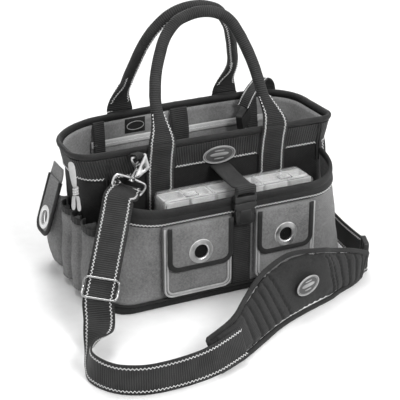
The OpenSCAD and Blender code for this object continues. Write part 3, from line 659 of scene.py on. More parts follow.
# Side-release buckle: socket with side windows, plug with its frame and the two squeezable prongs.
socket = mirrored([(11, 131.5), (15, 132.5), (17, 136), (17.6, 142), (18.6, 145.5), (15.6, 148), (15, 157),
                   (17.5, 160), (20, 162), (20.6, 166), (20.4, 170.5), (19, 172)])
crowned("buckle_socket_body", socket, FACE - 15.4, 10.6, 1.0, ACETAL, 1.8, replaces=["buckle_socket"])
crowned("buckle_socket_panel", mirrored([(6, 135), (9.5, 137), (10.5, 142), (10.5, 156), (9, 159)]), FACE - 17.0, 2,
        0.4, ACETAL, 1.0)
crowned("buckle_plug_body", mirrored([(18.5, 172.8), (20.4, 174.5), (20.6, 181), (19.5, 184.4)]), FACE - 16.6, 11.6,
        0.8, ACETAL, 1.8, body="buckle_plug", replaces=["buckle_plug"])
for tag, x, post in (("left", -17.6, 0.2), ("right", 15.6, 1.8)):
    prong = fine(round_rect(x - 1.2, x + 3.2, 146, 158.5, 1.5, 1.5), 1.2)
    crowned(f"buckle_prong_{tag}", prong, FACE - 13.6, 5, 0.5, ACETAL, 0.9, body="buckle_plug")
    pipe(f"buckle_post_{tag}", [(x + post, FACE - 11.4, z) for z in np.linspace(182, 199, 7)], 2.7, ACETAL, side=Y,
         body="buckle_plug")
pipe("buckle_bar", [(x, FACE - 11.4, 196.6) for x in np.linspace(-19, 17, 7)], 3.0, ACETAL, body="buckle_plug")
dress(ACETAL, "rear_strap_buckle", "ladder_buckle")

# ---------- handles ----------
EDGES = ((-1, "a"), (1, "b"))
FLARE, UNTWIST, FLARE_STITCH = 62, 110, 56  # lengths from the foot: to the round grip, to its own axes, stitched
ALMOST_X = np.array([1.0, 0, 0.01])
GRIPS = {
    "front": (-1, [(-111, -106, 0), (-112, -90, 40), (-110, -76, 66), (-106, -66, 90), (-99, -56, 112),
                   (-87, -44, 137), (-72, -33, 162), (-49, -25, 183), (-24, -21, 192), (2, -20, 195), (28, -22, 191),
                   (50, -29, 178), (66, -40, 151), (77, -53, 121), (84, -63, 96), (88, -75, 70), (91, -90, 40),
                   (96, -106, 0)]),
    "rear": (1, [(-108, 100, 0), (-105, 84, 34), (-101, 68, 65), (-95, 54, 92), (-86, 36, 128), (-72, 22, 158),
                 (-52, 11, 182), (-31, 6, 194), (-6, 4, 199), (20, 5, 197), (48, 10, 185), (74, 24, 155),
                 (88, 38, 125), (98, 52, 96), (106, 65, 70), (108, 82, 40), (105, 100, 0)]),
}


def sewn(side, x, z, o=0.0):
    """A point on the outside of the webbing sewn over the band, on the front (-1) or the back (1)."""
    face = front_y(z) if side < 0 else back_y(z) + bulge(x, z) + 1.2
    lift = look(z, [(120, 2.6), (208, 2.9), (240, 3.2), (249, 5.4), (264, 5.6)]) + 1.8 + o
    return np.array((x, face + side * lift, z))


def sewn_feet(name, side):
    """The two pieces of a handle's webbing that are sewn to the bag, with their stitching."""
    heights = np.linspace(120, RIM_H, 30)
    for tag, foot in FEET.items():
        rows = [[sewn(side, foot + x, z, -0.35 * (abs(x) > 24)) for x in np.linspace(-HALF, HALF, 11)] for z in heights]
        grid(f"{name}_handle_webbing_{tag}", rows, WEBBING, thick=2.4, swell=(0.45, 26),
             replaces=[f"{name}_handle_webbing"] if tag == "left" else ())
        for e, edge in EDGES:
            line = np.array([sewn(side, foot + e * 19.6, z, 0.3) for z in heights])
            zigzag(f"{name}_foot_stitch_{tag}_{edge}", line, X, side * Y)
        line = np.array([sewn(side, foot + x, 206, 0.2) for x in np.linspace(-22, 22, 9)])
        zigzag(f"{name}_foot_cross_{tag}", line, Z, side * Y, r=0.5, amp=0.4, material=BINDING)


def grip_line(name):
    return spline([(x, y, RIM_H + z) for x, y, z in GRIPS[name][1]], 6)


def grip_axes(line):
    """Of a grip's section at each point: one way in the arch's plane, one across it."""
    along = frames(line, Y)[1]
    u = unit(np.cross(Y, along))
    return u, np.cross(along, u)


for name, (side, points) in GRIPS.items():
    hinge = points[0][1]
    joint = ("root", f"{name}_handle", (0, hinge * MM, 0.252), (0, hinge * MM, 0.290))
    sewn_feet(name, side)
    path = grip_line(name)
    s = lengths(path)
    rows, outer, inner = [], {-1: [], 1: []}, {-1: [], 1: []}
    for p, u, n, at in zip(path, *grip_axes(path), s):
        # Flat and wide as the webbing at its foot, round further up.
        reach, way = min(at, s[-1] - at), 1 if at < s[-1] / 2 else -1
        t, turn = min(1.0, reach / FLARE), min(1.0, reach / UNTWIST)
        ease = t * t * (3 - 2 * t)
        foot = FEET["left" if way > 0 else "right"]
        top = sewn(side, foot, RIM_H, -0.9)
        axis = unit(way * X * (1 - turn) + u * turn)
        level = unit(-side * (Y * (1 - turn) + n * turn))
        centre = np.array((foot + (p[0] - foot) * ease, top[1] + (p[1] - top[1]) * ease ** 0.8, p[2]))
        half, deep, power = 25.2 - 15.0 * ease ** 0.85, 1.3 + 8.6 * ease ** 1.3, 0.55 + 0.45 * ease
        rows.append([centre + axis * half * squared(cos(a), power) + level * deep * squared(sin(a), power)
                     for a in turns(20)])
        for e, _ in EDGES:
            outer[e].append(centre + e * axis * (half - 5.4 + 4.0 * ease) - level * deep * (0.94 - 0.5 * ease))
            inner[e].append(centre + e * axis * (half - 5.4 + 1.5 * ease) + level * (deep * (0.97 - 0.12 * ease) + 0.3))
    grip = grid(f"{name}_grip", rows, WEBBING, wrap=True, caps=True, swell=(0.35, 16), replaces=[f"{name}_handle"])
    bend(grip, *joint)
    out = unit([0, side, 0.25])
    count = int(np.argmax(s > FLARE_STITCH))
    if name == "rear":
        for part, tags in ((slice(3, count + 4), "ab"), (slice(len(s) - count - 4, -3), "cd")):
            for (e, _), tag in zip(EDGES, tags):
                bend(zigzag(f"rear_inner_stitch_{tag}", np.array(inner[e])[part], ALMOST_X, -out), *joint)
    for end, part in (("l", slice(0, count)), ("r", slice(len(s) - count, None))):
        for e, tag in EDGES:
            bend(zigzag(f"{name}_flare_stitch_{end}{tag}", np.array(outer[e])[part], ALMOST_X, out), *joint)
for tag, way, part in (("left", 1, slice(11, 34)), ("right", -1, slice(64, 86))):
    path, d, u, n = frames(grip_line("rear")[part], Y)
    n = n * np.sign(np.mean(n[:, 0]) * way)
    zigzag(f"rear_grip_stitch_{tag}", path - u * 7.0 + n * 7.4, (-u - n) * 0.7, (n - u) * 0.7, body="rear_handle",
           r=0.5)
path = grip_line("rear")[12:40]
u, n = grip_axes(path)
zigzag("rear_grip_stitch_front", path - n * 9.2 + u * 4.6, u * 0.89 + n * 0.45, u * 0.45 - n * 0.89,
       body="rear_handle", r=0.5)


# ---------- oval patches, without any lettering ----------
def patch(name, place, turn, rx, rz, node, body="root"):
    """Generic oval patch: dark ground, a pale rolled edge and a plain raised bar with two short ones."""
    m = Matrix.Translation(Vector(place)) @ turn.to_4x4()
    put = lambda x, y, z: tuple(m @ Vector((x, y, z)))
    oval = lambda k, y: [put(k * rx * cos(a), y, k * rz * sin(a)) for a in turns(48)]
    grid(f"{name}_ground", [oval(k, y) for k, y in ((0.98, 0), (0.98, -1.0), (0.9, -1.3), (0.6, -1.5), (0.02, -1.6))],
         BADGE_DARK, wrap=True, caps=True, body=body, replaces=[node])
    for k, r, tag in ((0.95, 1.15, "edge"), (0.84, 0.4, "inner_line")):
        pipe(f"{name}_{tag}", oval(k, -1.5), r, BADGE_RIM, side=turn @ Vector(Y), sides=8, closed=True, body=body)
    for k, (half, z, tall) in enumerate(((0.56, 0.05, 0.2), (0.3, -0.42, 0.07), (0.3, 0.47, 0.07))):
        lozenge = [(half * rx * squared(cos(a), 0.7), z * rz + tall * rz * sin(a)) for a in turns(48)]
        rows = [[put(x * f, y, z * rz + (h - z * rz) * f) for x, h in lozenge]
                for f, y in ((1, -1.2), (1, -2.1), (0.9, -2.4), (0.02, -2.4))]
        grid(f"{name}_bar_{k}", rows, BADGE, wrap=True, caps=True, body=body)


tilt = lambda deg: Matrix.Rotation(radians(deg), 3, "X")
spin = lambda deg: Matrix.Rotation(radians(deg), 3, "Z")
patch("front_patch", (0, front_y(222) - 3, 222), tilt(8.4), 32, 17, "front_badge")
patch("pad_patch", (56, -316, 58), spin(20) @ tilt(2), 28, 17, "pad_badge", "shoulder_strap")


# ---------- inside ----------
def inner_back(x, z, off=0.0):
    """Y of the lining's back wall, off mm in front of it."""
    return (back_y(z) - 5.5) * (1 + bulge(x, z) / back_y(z)) - off


def inside(name, x0, x1, low, high, material, across=24, up=10, sag=0.0, thick=1.4, swell=(0.8, 40), **settings):
    """Sheet in front of the back wall; low and high are its heights with their distance from the wall."""
    rows = []
    for t in np.linspace(0, 1, up):
        z, off = low[0] + (high[0] - low[0]) * t, low[1] + (high[1] - low[1]) * t
        rows.append([(x, inner_back(x, z, off) - sag * sin(pi * t), z) for x in np.linspace(x0, x1, across)])
    return grid(name, rows, material, thick=-thick, swell=swell, **settings)


inside("inner_pocket_wall", -175, 175, (70, 2), (206, 9), LINING, replaces=["inner_pocket"])
inside("inner_pocket_tape", -175, 175, (203.5, 10.4), (217, 9.2), TAPE, up=5, thick=2.0,
       replaces=["inner_pocket_binding"])
for tag, a, b in (("middle", -17, 17), ("left", -172, -150), ("right", 140, 162)):
    inside(f"inner_loop_{tag}", a, b, (190, 15), (254, 4.5), WEBBING, across=7, up=14, sag=4 if tag == "middle" else 2,
           thick=1.8, swell=(0.8, 18), slot="black_nylon", replaces=["inner_loops"] if tag == "middle" else ())
inside("inner_label_patch", -106, -66, (219, 1.5), (247, 1.5), BLACK, across=8, up=6, thick=0.9, slot="badge_vinyl",
       replaces=["inner_label"])
oval = [(-86 + 17 * cos(a), 233 + 8 * sin(a)) for a in turns(40)]
pipe("inner_label_line", [(x, inner_back(x, z, 3.0), z) for x, z in oval], 0.7, BADGE_RIM, side=Y, sides=6, closed=True)
tape_line = np.array([(x, inner_back(x, 211, 12.4), 210.5) for x in np.linspace(-172, 172, 60)])
zigzag("inner_tape_stitch", tape_line, Z, -Y, r=0.5, amp=0.5)

# ---------- back ----------
rows = []
for z in np.linspace(12.4, 165, 20):
    puff = 1.6 * sin(pi * (z - 12) / 153)
    left = [(-151 - 13 * cos(a), 98 + 12 * sin(a)) for a in np.linspace(0.1, 1.5, 7)]
    right = [(151 + 13 * sin(a), 98 + 12 * cos(a)) for a in np.linspace(0.1, 1.5, 7)]
    line = [(-164, 92), (-164, 97), *left, *[(x, 108.2 + puff) for x in np.linspace(-148, 148, 50)], *right]
    rows.append([(x, y, z) for x, y in line + [(164, 97), (164, 92)]])
grid("rear_pocket_wall", rows, GREY, thick=2.0, swell=(1.2, 45), replaces=["rear_pocket"])
top_line = lambda z, o: [(x * 1.012, y + 3.4 + o, z) for x, y, _ in rows[-1]]
profile = ((143, -1.0), (144, 0.3), (154, 0.2), (156, -0.4), (158, 0.8), (164, 1.2), (166, 0.2), (166, -3.2))
grid("rear_pocket_edge", [top_line(z, o) for z, o in profile], BINDING, thick=1.2, swell=(0.4, 30),
     replaces=["rear_pocket_band"])
zigzag("rear_pocket_stitch", np.array(top_line(147, 0.6))[9:-9], Z, Y)
REAR = spline([(122, 50, 246), (134, 54, 264), (156, 66, 280), (180, 84, 285), (198, 96, 269), (202, 95, 245),
               (202, 92, 222)], 6)
path, d, u, n = frames(REAR, (0.75, -0.65, 0))
grid("rear_strap_webbing", [[p + v * x for x in np.linspace(-12.5, 12.5, 7)] for p, v in zip(path, u)], WEBBING,
     thick=2.0, replaces=["rear_strap"])
for e, tags in ((-1, "ac"), (1, "bd")):
    for face, tag in zip((-1, 1), tags):
        zigzag(f"rear_strap_stitch_{tag}", path + e * u * 9.5 + face * n * 0.2, u, face * n, amp=0.8, r=0.5, pitch=4)


# ---------- pockets on the ends ----------
def tool_pocket(name, x, sign, y, width, depth, top, replaces, wall_at):
    """Pleated pouch: a swelling front between two folds, its edges running back to the wall."""
    rows = []
    for z in np.linspace(12.6, top - 12, 14):
        t = (z - 12) / (top - 12)
        d = depth * (1.0 - 0.22 * t) * (0.86 + 0.14 * sin(pi * min(1, t * 1.6)))
        row = []
        for a in np.linspace(-90, 90, 21):
            c = max(0.0, cos(radians(a)))
            fold = 4.2 * exp(-((abs(a) - 52) / 9) ** 2) * (1 - 0.6 * t)
            row.append((x - sign * (d * c ** 0.7 - fold), y + width / 2 * sin(radians(a)), z))
        (xa, ya, _), (xb, yb, _) = row[0], row[-1]
        wa, wb = wall_at(ya, z), wall_at(yb, z)
        rows.append([(wa, ya, z), ((wa + xa) / 2, ya + 1.2, z), *row, ((wb + xb) / 2, yb - 1.2, z), (wb, yb, z)])
    grid(f"{name}_pouch", rows, GREY, thick=-1.6, swell=(1.3, 24), replaces=replaces[:1])
    rows = []
    for down, o in ((12, 0.6), (11, 1.4), (6, 1.0), (1.5, 1.4), (0, 0.6), (0, -0.8), (2, -1.4), (11, -1.4)):
        d = depth * 0.78 + o
        row = []
        for a in np.linspace(-88, 88, 33):
            c = max(0.0, cos(radians(a)))
            gather = 0.55 * cos(radians(a * 17))
            row.append((x - sign * (d * c ** 0.7 + gather), y + (width / 2 + o) * sin(radians(a)), top - down))
        rows.append(row)
    grid(f"{name}_elastic", rows, BINDING, close=True, replaces=replaces[1:])


def left_wall(y, z):
    """X of the end wall, or of the front pocket's left end further forward."""
    if y > -88:
        return left_x(z) - 0.8
    ends = pocket_path(0.6, min(z, 150))[:22]
    return min(float(np.interp(-y, [-q[1] for q in ends], [q[0] for q in ends])), -232)


for k, (y, top) in enumerate(((-1.0, 150), (-53.0, 140), (-98.5, 140), (-156.5, 142))):
    line = [(left_wall(y, z) - 2.4, y, z) for z in np.linspace(13, top, 24)]
    pipe(f"left_pocket_seam_{k}", line, 2.2, BINDING, side=Y, sides=8)
ENDS = {"left": (-249, 1, 20, left_wall, ((-27, 50, 148), (-75, 42, 148), (-128, 54, 152))),
        "right": (229, -1, 14, lambda y, z: right_x(z) + 0.8, ((2, 46, 148), (50, 42, 152)))}
for tag, (x, sign, depth, wall, pouches) in ENDS.items():
    for k, (y, width, top) in enumerate(pouches):
        tool_pocket(f"{tag}_tool_pocket_{k}", x, sign, y, width, depth, top,
                    [f"{tag}_tool_pockets", f"{tag}_elastic_tops"] if k == 0 else [], wall)

SIDE_X, SIDE_Y = -249, 38
SIDE_DEPTH = [(12.4, 15), (30, 19), (56, 24), (96, 26), (130, 17.5), (150, 10.5)]
rows = []
for z in np.linspace(12.4, 150, 18):
    d, half, wall = look(z, SIDE_DEPTH), 33 - 1.5 * sin(pi * z / 150), left_x(z) - 1
    fold = (wall + SIDE_X) / 2
    bow = [(SIDE_X - d * (1 - abs(sin(a)) ** 3.2) ** 0.55 * 0.99, -half * sin(a)) for a in np.linspace(-1.52, 1.52, 23)]
    line = [(wall, half), (fold, half + 0.6), *bow, (fold, -half - 0.6), (wall, -half)]
    rows.append([(x, SIDE_Y + y, z) for x, y in line])
grid("side_pocket_pouch", rows, GREY, thick=2, swell=(1.6, 34), replaces=["side_pocket"])


def on_side(x, y, z):
    """Side flap's own axes: y across, z down from its hinge, x outwards."""
    a = radians(17.5)
    return np.array((-252.5 + x * cos(a) + z * sin(a), SIDE_Y + y, 176 - x * sin(a) + z * cos(a)))


pts, mid = np.array(round_rect(-28, 28, -105, -4, 16, 3)), np.array((0, -78.0))
base, inner = mid + (pts - mid) * 0.97, mid + unit(pts - mid) * 14
rows = [[on_side(x, *p) for p in pts] for x in (0, -2.0)]
rows += [[on_side(-2.4 - 1.2 * (1 - (1 - t) ** 2), *q) for q in base + (inner - base) * t]
         for t in np.linspace(0, 1, 8)]
rows.append([on_side(0, *q) for q in inner])
grid("side_flap_panel", rows, GREY, wrap=True, close=True, body="side_flap", replaces=["side_flap"])
rim = [on_side(-1.3, y, z) for y, _, z in u_line(-27, 27, -104, -4, 16, 0, 12)]
grid("side_flap_edge", bound(rim, on_side(-1, 0, 0) - on_side(0, 0, 0), 4.6, 3.2), BINDING, wrap=True, caps=True,
     body="side_flap")
rows = [[(x, SIDE_Y + y * w, z) for y in np.linspace(-28, 28, 9)]
        for x, z, w in ((left_x(196) - 1.4, 196, 0.86), (-249.5, 188, 0.95), (-252.2, 179, 1), (-255, 171.6, 1))]
grid("side_flap_hinge_cloth", rows, GREY, thick=1.4)

# ---------- rings, hooks, clip ----------
RINGS = (np.array((-160.0, -117, 253)), np.array((246.0, 50, 234)))
line = RINGS[1] - RINGS[0]
TURN, TILT = atan2(line[1], line[0]), atan2(-line[2], hypot(line[0], line[1]))
DROP, CROOK = 16.5, 40


def on_ring(i, x, y, z):
    """A ring's own axes: x along the line between the rings, towards the other ring."""
    m = Matrix.Rotation(TURN, 3, "Z") @ Matrix.Rotation(TILT, 3, "Y") @ Matrix.Rotation(pi * i, 3, "Z")
    return RINGS[i] + np.array(m @ Vector((x, y, z)))


def at_hook(i, x, y, z):
    """A hook's own axes: x along its bar, z up to the crook that hangs in ring i."""
    m = Matrix.Rotation(pi * i, 3, "Z") @ Matrix.Rotation(radians(30), 3, "Y")
    return RINGS[i] - (0, 0, DROP) + np.array(m @ Vector((x, y, z - CROOK)))


dress(ZINC, "d_rings")
# Bail: shoulders that curve down beside the webbing from its top bar, and blunt ends.
arm = [(-6, 0, 15.5), (-14, 0, 15), (-22, 0, 14.5), (-28, 0, 13), (-31.2, 0, 8), (-30.5, 0, 0), (-28, 0, -6),
       (-23, 0, -8.5)]
BAIL = spline(arm[::-1] + [(-x, y, z) for x, y, z in arm], 6)
SWIVEL = [(9.5, 3.2), (10.5, 5.4), (13, 5.6), (14, 4.2), (15, 4.2), (16, 5.8), (19, 5.8), (20, 4.4), (22, 4.6),
          (24, 3.6), (27, 3.2), (33, 3.0)]
BEND = [(0, 8.6 * cos(a), CROOK + 8.6 * sin(a)) for a in np.linspace(radians(-88), radians(212), 26)]
BEND_R = np.interp(np.linspace(0, 1, 26), [0, 0.2, 0.8, 1], [3.0, 2.6, 2.1, 1.2])
lever = [(-3.6, 22), (3.6, 22), (6, 27), (10.5, 36), (14.6, 45), (11, 49.5), (4, 56.5), (-4.6, 65.4), (-4.9, 60),
         (-4.5, 45), (-4, 32)]
LEVER, LEVER_MID = even(lever + lever[:1], 2.2)[:-1], np.array((4.5, 40.0))
LEVER_HOLE = LEVER_MID + unit(LEVER - LEVER_MID) * 1.6
for i, tag in enumerate(("left", "right")):
    rows = [[on_ring(i, x, -4.6 * cos(a), 4.4 * sin(a)) for a in np.linspace(-2.6, 2.6, 16)]
            for x in np.linspace(-9, 9, 7)]
    grid(f"{tag}_ring_tab_loop", rows, WEBBING, thick=1.2, replaces=["ring_tabs"] if i == 0 else ())
    if i == 0:
        rows = [[on_ring(0, x, y, z) for x in np.linspace(-9, 9, 5)]
                for y, z in ((1, 4.2), (6, 3.8), (11, 3.4), (12, 0), (11, -3.4), (6, -3.8), (1, -4.2))]
    else:
        rows = [[on_ring(1, x, y, z) for y in np.linspace(-4.2, 4.2, 5)]
                for x, z in ((-8.5, 4.3), (0, 4.5), (9, 4.2), (17, 3.6))]
    grid(f"{tag}_ring_tab_tail", rows, WEBBING, thick=1.4)

    def hook_pipe(part, points, radius, material, side, sides=10, **settings):
        pipe(f"{tag}_hook_{part}", [at_hook(i, *q) for q in points], radius, material, side=side, sides=sides,
             body="shoulder_strap", **settings)

    origin = at_hook(i, 0, 0, 0)
    hook_pipe("bail", BAIL, 2.0, SATIN, at_hook(i, 0, 1, 0) - origin, 12, replaces=[f"{tag}_snap_hook"])
    hook_pipe("bar", [(x, 0.2, 0) for x in np.linspace(-29.5, 29.5, 9)], 1.6, CHROME, (0, 0.3, 1))
    rows = [[at_hook(i, r * cos(a), r * sin(a), z) for a in turns(20)] for z, r in SWIVEL]
    grid(f"{tag}_hook_swivel", rows, CHROME, wrap=True, caps=True, body="shoulder_strap")
    hook_pipe("crook", BEND, BEND_R, CHROME, at_hook(i, 1, 0, 0) - origin, 12)
    hook_pipe("pin", [(0, y, 25.5) for y in (-13.6, -9, -4, 0)], [2.4, 1.6, 1.6, 1.6], CHROME, (0, 0.3, 1))
    rows = [[at_hook(i, x, y, z) for x, z in LEVER_MID + (LEVER - LEVER_MID) * k]
            for k, y in ((1.0, -11.4), (1.0, -12.6), (0.96, -13.1))]
    rows += [[at_hook(i, x, y, z) for x, z in LEVER_HOLE] for y in (-13.3, -11.4)]
    grid(f"{tag}_lever_plate", rows, SATIN, wrap=True, close=True, body=f"{tag}_snap_lever",
         replaces=[f"{tag}_snap_lever"])

CLIP = Matrix.Translation((-262, -88, 0)) @ Matrix.Rotation(radians(35), 4, "Z")
clip = lambda x, y, z: tuple(CLIP @ Vector((x, y, z)))
lobe = [(205, 3.6), (210, 5.0), (222, 6.4), (236, 7.0), (244, 6.6), (248, 4.6), (249.5, 1.6)]
rows = [[clip(1.3 * sin(a) - 2.2, w * cos(a) + (z - 205) * 0.12, z) for a in turns(14)] for z, w in lobe]
grid("tape_strip", rows, TAPE, wrap=True, caps=True, replaces=["tape_clip_strap"], swell=(0.2, 9))
knot = [clip(2.6 * sin(t * 3), 3.2 * cos(t * 3), 205 - 14 * t / 6.28) for t in np.linspace(0, 6.28, 40)]
pipe("tape_clip_knuckle", knot, 2.4, TAPE, side=Z, sides=8, body="tape_clip", slot="zinc_steel", replaces=["tape_clip"])
pipe("tape_clip_tie", [clip(3.6 * sin(a), 5.2 * cos(a), 191 + 0.8 * sin(2 * a)) for a in turns(40)], 1.0, BINDING,
     side=Z, sides=6, closed=True, body="tape_clip")
prong = [(193, 1.6, 2.6), (186, 4.2, 4.0), (180, 5.0, 3.4), (174, 5.2, 4.2), (168, 5.8, 4.4), (163.5, 5.8, 3.0),
         (162.2, 5.6, 1.3)]
for e, tag in EDGES:
    rows = [[clip(1.7 * sin(a), e * c + w * cos(a), z) for a in turns(14)] for z, c, w in prong]
    grid(f"tape_clip_prong_{tag}", rows, TAPE, wrap=True, caps=True, body="tape_clip", slot="zinc_steel", subdivide=1)

# ---------- shoulder strap ----------
LAP, LOW = np.array((-208.0, -144, 196)), np.array((-285.0, -240, 67))
STRAP_DIR = unit(LOW - LAP)
ACROSS = np.array((0.82, -0.5, -0.15))
SIDE_AXIS = unit(ACROSS - STRAP_DIR * (ACROSS @ STRAP_DIR))
OUT_AXIS = np.cross(STRAP_DIR, SIDE_AXIS)
SLIDER = LOW - STRAP_DIR * 22


def over_bar(i):
    """Start of a strap: over the bar of hook i, as wide as the bar is long."""
    way = (-0.866 if i else 0.866, 0, -0.5)
    return [(*at_hook(i, 0, y, z), *way) for y, z in ((2.2, -4), (0, 2.4), (-2.6, -3))]


def straight(at, off=0.0):
    """Points at parts of the way from the lap to the low end of the left strap, off mm behind it."""
    return [(*(LAP + (LOW - LAP) * t - OUT_AXIS * off), *ACROSS) for t in at]


def ribbon(name, data, half, body="shoulder_strap", replaces=(), thick=2.3, stitch=True, inset=5.8, shift=0.0):
    """Flat webbing along a route of points and width directions, stitched along both edges on both faces."""
    data = even(data, 4)
    path, _, u, n = frames(data[:, :3], data[:, 3:6])
    offsets = np.linspace(-half, half, 11)
    rows = [[p + v * (x + shift) + w * 0.35 * (abs(x) / half) ** 6 for x in offsets] for p, v, w in zip(path, u, n)]
    thicken(grid(name, rows, WEBBING, body=body, replaces=replaces, swell=(0.5, 38)), thick, 0)
    if stitch:
        for e, tag in EDGES:
            for f, face in ((1, "out"), (-1, "in")):
                line = path + u * e * (half - inset) + n * f * (thick / 2 + 0.25)
                zigzag(f"{name}_stitch_{tag}_{face}", line, u, n * f, body=body)


left = over_bar(0) + [(-195, -131, 198.6, 0.85, -0.25, -0.4), (*(LAP + (0, 0, 1.5)), *ACROSS)]
left += straight((0.12, 0.3, 0.5, 0.7, 0.9, 1.0))
left += [(-290, -256, 42, 0.85, -0.45, 0), (-304, -282, 28, 0.75, -0.25, 0.5), (-329, -316, 26, 0.35, 0, 0.93),
         (-341, -356, 26, 0.1, 0.05, 0.99), (-322, -399, 26, 0, 0, 1), (-284, -422, 26, 0, 0, 1),
         (-238, -427, 26, 0, 0.05, 1), (-196, -426.5, 28, -0.15, 0.1, 0.97), (-166, -423, 31, -0.28, 0.13, 0.95),
         (-136, -413.5, 34, -0.26, 0.15, 0.95), (-106, -400.5, 36, -0.24, 0.2, 0.95)]
ribbon("strap_left_webbing", spline(left), HALF, replaces=["strap_left"])
ribbon("strap_left_return", spline(straight((0.02, 0.3, 0.6, 0.86), 3.2)), HALF - 0.4, stitch=False, shift=0.9,
       thick=2.0)


def on_slider(x, y, z):
    """The slider's own axes: x across the strap, y along it, z off its outer face."""
    return SLIDER + SIDE_AXIS * x + STRAP_DIR * y + OUT_AXIS * z


loop = [on_slider(x, y, 5.0 * min(1, abs(y) / 13) ** 1.5) for x, y in rounded(-28.6, 28.6, -17.0, 17.0, [8] * 4, 10)]
pipe("slider_frame", loop, 2.0, CHROME, side=OUT_AXIS, sides=12, closed=True, body="strap_slider",
     replaces=["strap_slider"])
bar = [on_slider(x, 0, -7.9 * (1 - (abs(x) / 29) ** 24)) for x in np.linspace(-29, 29, 35)]
pipe("slider_bar", bar, 1.9, CHROME, side=OUT_AXIS, body="strap_slider")

right = [*over_bar(1), (272.5, 50, 169, -0.866, 0, -0.5), (277, 50, 145, -1, 0.1, -0.2),
         (276, 46, 115, -0.9, 0.3, -0.3), (277, 36, 80, -0.7, 0.4, -0.6), (276, 14, 45, -0.3, 0.3, -0.9),
         (270, -18, 29, 0, 0, -1), (260, -50, 28, 0, 0, -1), (253, -85, 28, 0, 0, -1), (248, -120, 28, 0, 0, -1),
         (245, -160, 28, 0, 0, -1), (241.5, -191.5, 30, 0, 0, -1)]
ribbon("strap_right_webbing", spline(right), HALF, replaces=["strap_right"])
link = [(178, -254, 30, 0, 0, 1), (196, -243.5, 28.5, 0, 0, 1), (216, -232, 27.5, 0.05, 0, 1),
        (224.6, -228.8, 30, 0.05, 0, 1)]
ribbon("pad_link_webbing", spline(link), HALF - 1, replaces=["ladder_link"], inset=5)

# ---------- padded section ----------
PAD_LOW = spline([(-158, -422, 1), (-100, -396, 1), (-48, -364, 1), (-5, -337, 1), (37, -317, 1), (87, -298, 1),
                  (124, -285, 1), (150, -271, 1), (184, -257, 1), (214, -238, 1)], 12)
PAD_HIGH = spline([(-179, -412, 64), (-118, -381, 71), (-78, -346, 81), (-50, -329, 97), (-18, -312, 107),
                   (28, -303, 119), (94, -292, 108), (125, -277, 95), (179, -258, 75), (228, -238, 50)], 12)
COUNT = len(PAD_LOW) - 1
PAD_ALONG = unit(np.gradient(PAD_LOW, axis=0) + np.gradient(PAD_HIGH, axis=0))
PAD_NORMAL = unit(np.cross(PAD_ALONG, unit(PAD_HIGH - PAD_LOW)))


def on_pad(i, v, h):
    """Point at step i along the pad, v up from its lower edge (0 to 1), h off its middle surface in mm."""
    k = int(np.clip(i, 0, COUNT - 1))
    t = i - k
    mix = lambda a: a[k] * (1 - t) + a[k + 1] * t
    return mix(PAD_LOW) + (mix(PAD_HIGH) - mix(PAD_LOW)) * v + mix(PAD_NORMAL) * h


def puffed(verts, faces, voxel, cap):
    """Voxel remesh, then cloth pressure with a cap on movement, then one subdivision; points in mm."""
    mesh = bpy.data.meshes.new("form")
    mesh.from_pydata([tuple(np.array(v) * MM) for v in verts], [], faces)
    obj = bpy.data.objects.new("form", mesh)
    bpy.context.scene.collection.objects.link(obj)

    def settle():
        graph = bpy.context.evaluated_depsgraph_get()
        made = bpy.data.meshes.new_from_object(obj.evaluated_get(graph))
        obj.modifiers.clear()
        obj.data = made

    m = obj.modifiers.new("voxels", "REMESH")
    m.mode, m.voxel_size = "VOXEL", voxel * MM
    settle()
    start = np.array([v.co for v in obj.data.vertices])
    m = obj.modifiers.new("pressure", "CLOTH")
    m.settings.use_pressure = True
    m.settings.uniform_pressure_force = 4
    m.settings.effector_weights.gravity = 0
    m.settings.quality = 5
    for step in range(1, 21):
        bpy.context.scene.frame_set(step)
    graph = bpy.context.evaluated_depsgraph_get()
    moved = np.array([v.co for v in obj.evaluated_get(graph).data.vertices]) - start
    obj.modifiers.clear()
    size = np.linalg.norm(moved, axis=1)[:, None]
    moved *= np.minimum(1, cap * MM / np.maximum(size, 1e-9))
    for v, p in zip(obj.data.vertices, start + moved):
        v.co = p
    bpy.context.scene.frame_set(1)
    m = obj.modifiers.new("smooth", "SUBSURF")
    m.levels = m.render_levels = 1
    settle()
    points = np.array([v.co for v in obj.data.vertices]) / MM
    polygons = [tuple(f.vertices) for f in obj.data.polygons]
    bpy.data.objects.remove(obj)
    return points, polygons


section = [(0.055, 1.0), (0.09, 3.0), (0.25, 3.8), (0.5, 4.0), (0.75, 3.8), (0.91, 3.0), (0.945, 1.0)]
section += [(v, -h) for v, h in section[::-1]]
steps = np.linspace(3.5, COUNT - 3.5, 80)
verts = [on_pad(i, v, h * look(i / COUNT, [(0, 0.55), (0.15, 1), (0.85, 1), (1, 0.55)]))
         for i in steps for v, h in section]
size = len(section)
faces = [(a * size + b, a * size + (b + 1) % size, (a + 1) * size + (b + 1) % size, (a + 1) * size + b)
         for a in range(len(steps) - 1) for b in range(size)]
faces += [tuple(range(size - 1, -1, -1)), tuple((len(steps) - 1) * size + b for b in range(size))]
points, polygons = puffed(verts, faces, 4.5, 3.2)
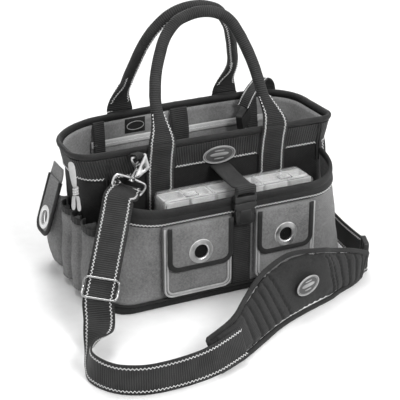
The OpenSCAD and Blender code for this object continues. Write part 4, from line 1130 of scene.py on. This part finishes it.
# Sewn channels: grooves across the pad, deeper in the middle of its height, with a swell between.
CHANNELS = [c / 9 * COUNT for c in (1.45, 1.9, 2.35, 2.8, 3.25, 3.75, 6.15, 6.5, 7.15, 7.6, 8.05, 8.45)]
table = [(i, v) for i in np.linspace(0, COUNT, 4 * COUNT + 1) for v in np.linspace(0, 1, 14)]
cloud = np.array([on_pad(i, v, 0) for i, v in table])
tree = kdtree.KDTree(len(cloud))
for k, q in enumerate(cloud):
    tree.insert(q, k)
tree.balance()
STEP = np.linalg.norm(np.diff((PAD_LOW + PAD_HIGH) / 2, axis=0), axis=1).mean()
done = []
for p in points:
    q, k, far = tree.find(p)
    i, v = table[k]
    normal = PAD_NORMAL[int(i)]
    i += float((p - np.array(q)) @ PAD_ALONG[int(i)]) / STEP
    h = float((p - on_pad(i, v, 0)) @ normal)
    nearest = min(abs(i - c) for c in CHANNELS) * STEP
    inside_pad = min(1.0, max(0.0, (0.5 - abs(v - 0.5)) / 0.1))
    dent = 3.4 * exp(-(nearest / 2.6) ** 2) * inside_pad
    puff = 0.9 * min(1.0, nearest / 9) * inside_pad
    # Outwards on both faces; less within 2 mm of the middle surface.
    done.append(p + normal * copysign(min(1, abs(h) / 2), h) * (puff - dent))
pad = build("pad_cushion", done, polygons, PADDING, body="shoulder_strap", replaces=["shoulder_pad"])
# Flat bound rim all round.
outline = [(i, 0.0) for i in np.linspace(1.5, COUNT - 1.5, 100)]
outline += [(COUNT - 0.35, v) for v in np.linspace(0.07, 0.93, 9)]
outline += [(i, 1.0) for i in np.linspace(COUNT - 1.5, 1.5, 100)]
outline += [(0.35, v) for v in np.linspace(0.93, 0.07, 9)]
rows = []
for i, v in outline:
    q = on_pad(i, v, 0)
    inner = on_pad(i, 0.5, 0) if abs(v - 0.5) > 0.49 else on_pad(i + (2 if i < COUNT / 2 else -2), v, 0)
    inward, normal = unit(inner - q), PAD_NORMAL[int(i)]
    rows.append([q + inward * (4.4 - 4.8 * cos(a)) + normal * 2.7 * squared(sin(a), 0.7) for a in turns(12)])
grid("pad_binding", rows, BINDING, wrap=True, close=True, body="shoulder_strap", swell=(0.3, 16))
# The fabric beyond the padding at both ends.
for tag, a, b in (("left", 0.8, 6), ("right", COUNT - 6, COUNT - 0.8)):
    rows = [[on_pad(i, v, 0) for v in np.linspace(0.04, 0.96, 15)] for i in np.linspace(a, b, 9)]
    thicken(grid(f"pad_end_{tag}", rows, PADDING, body="shoulder_strap"), 2.2, 0)
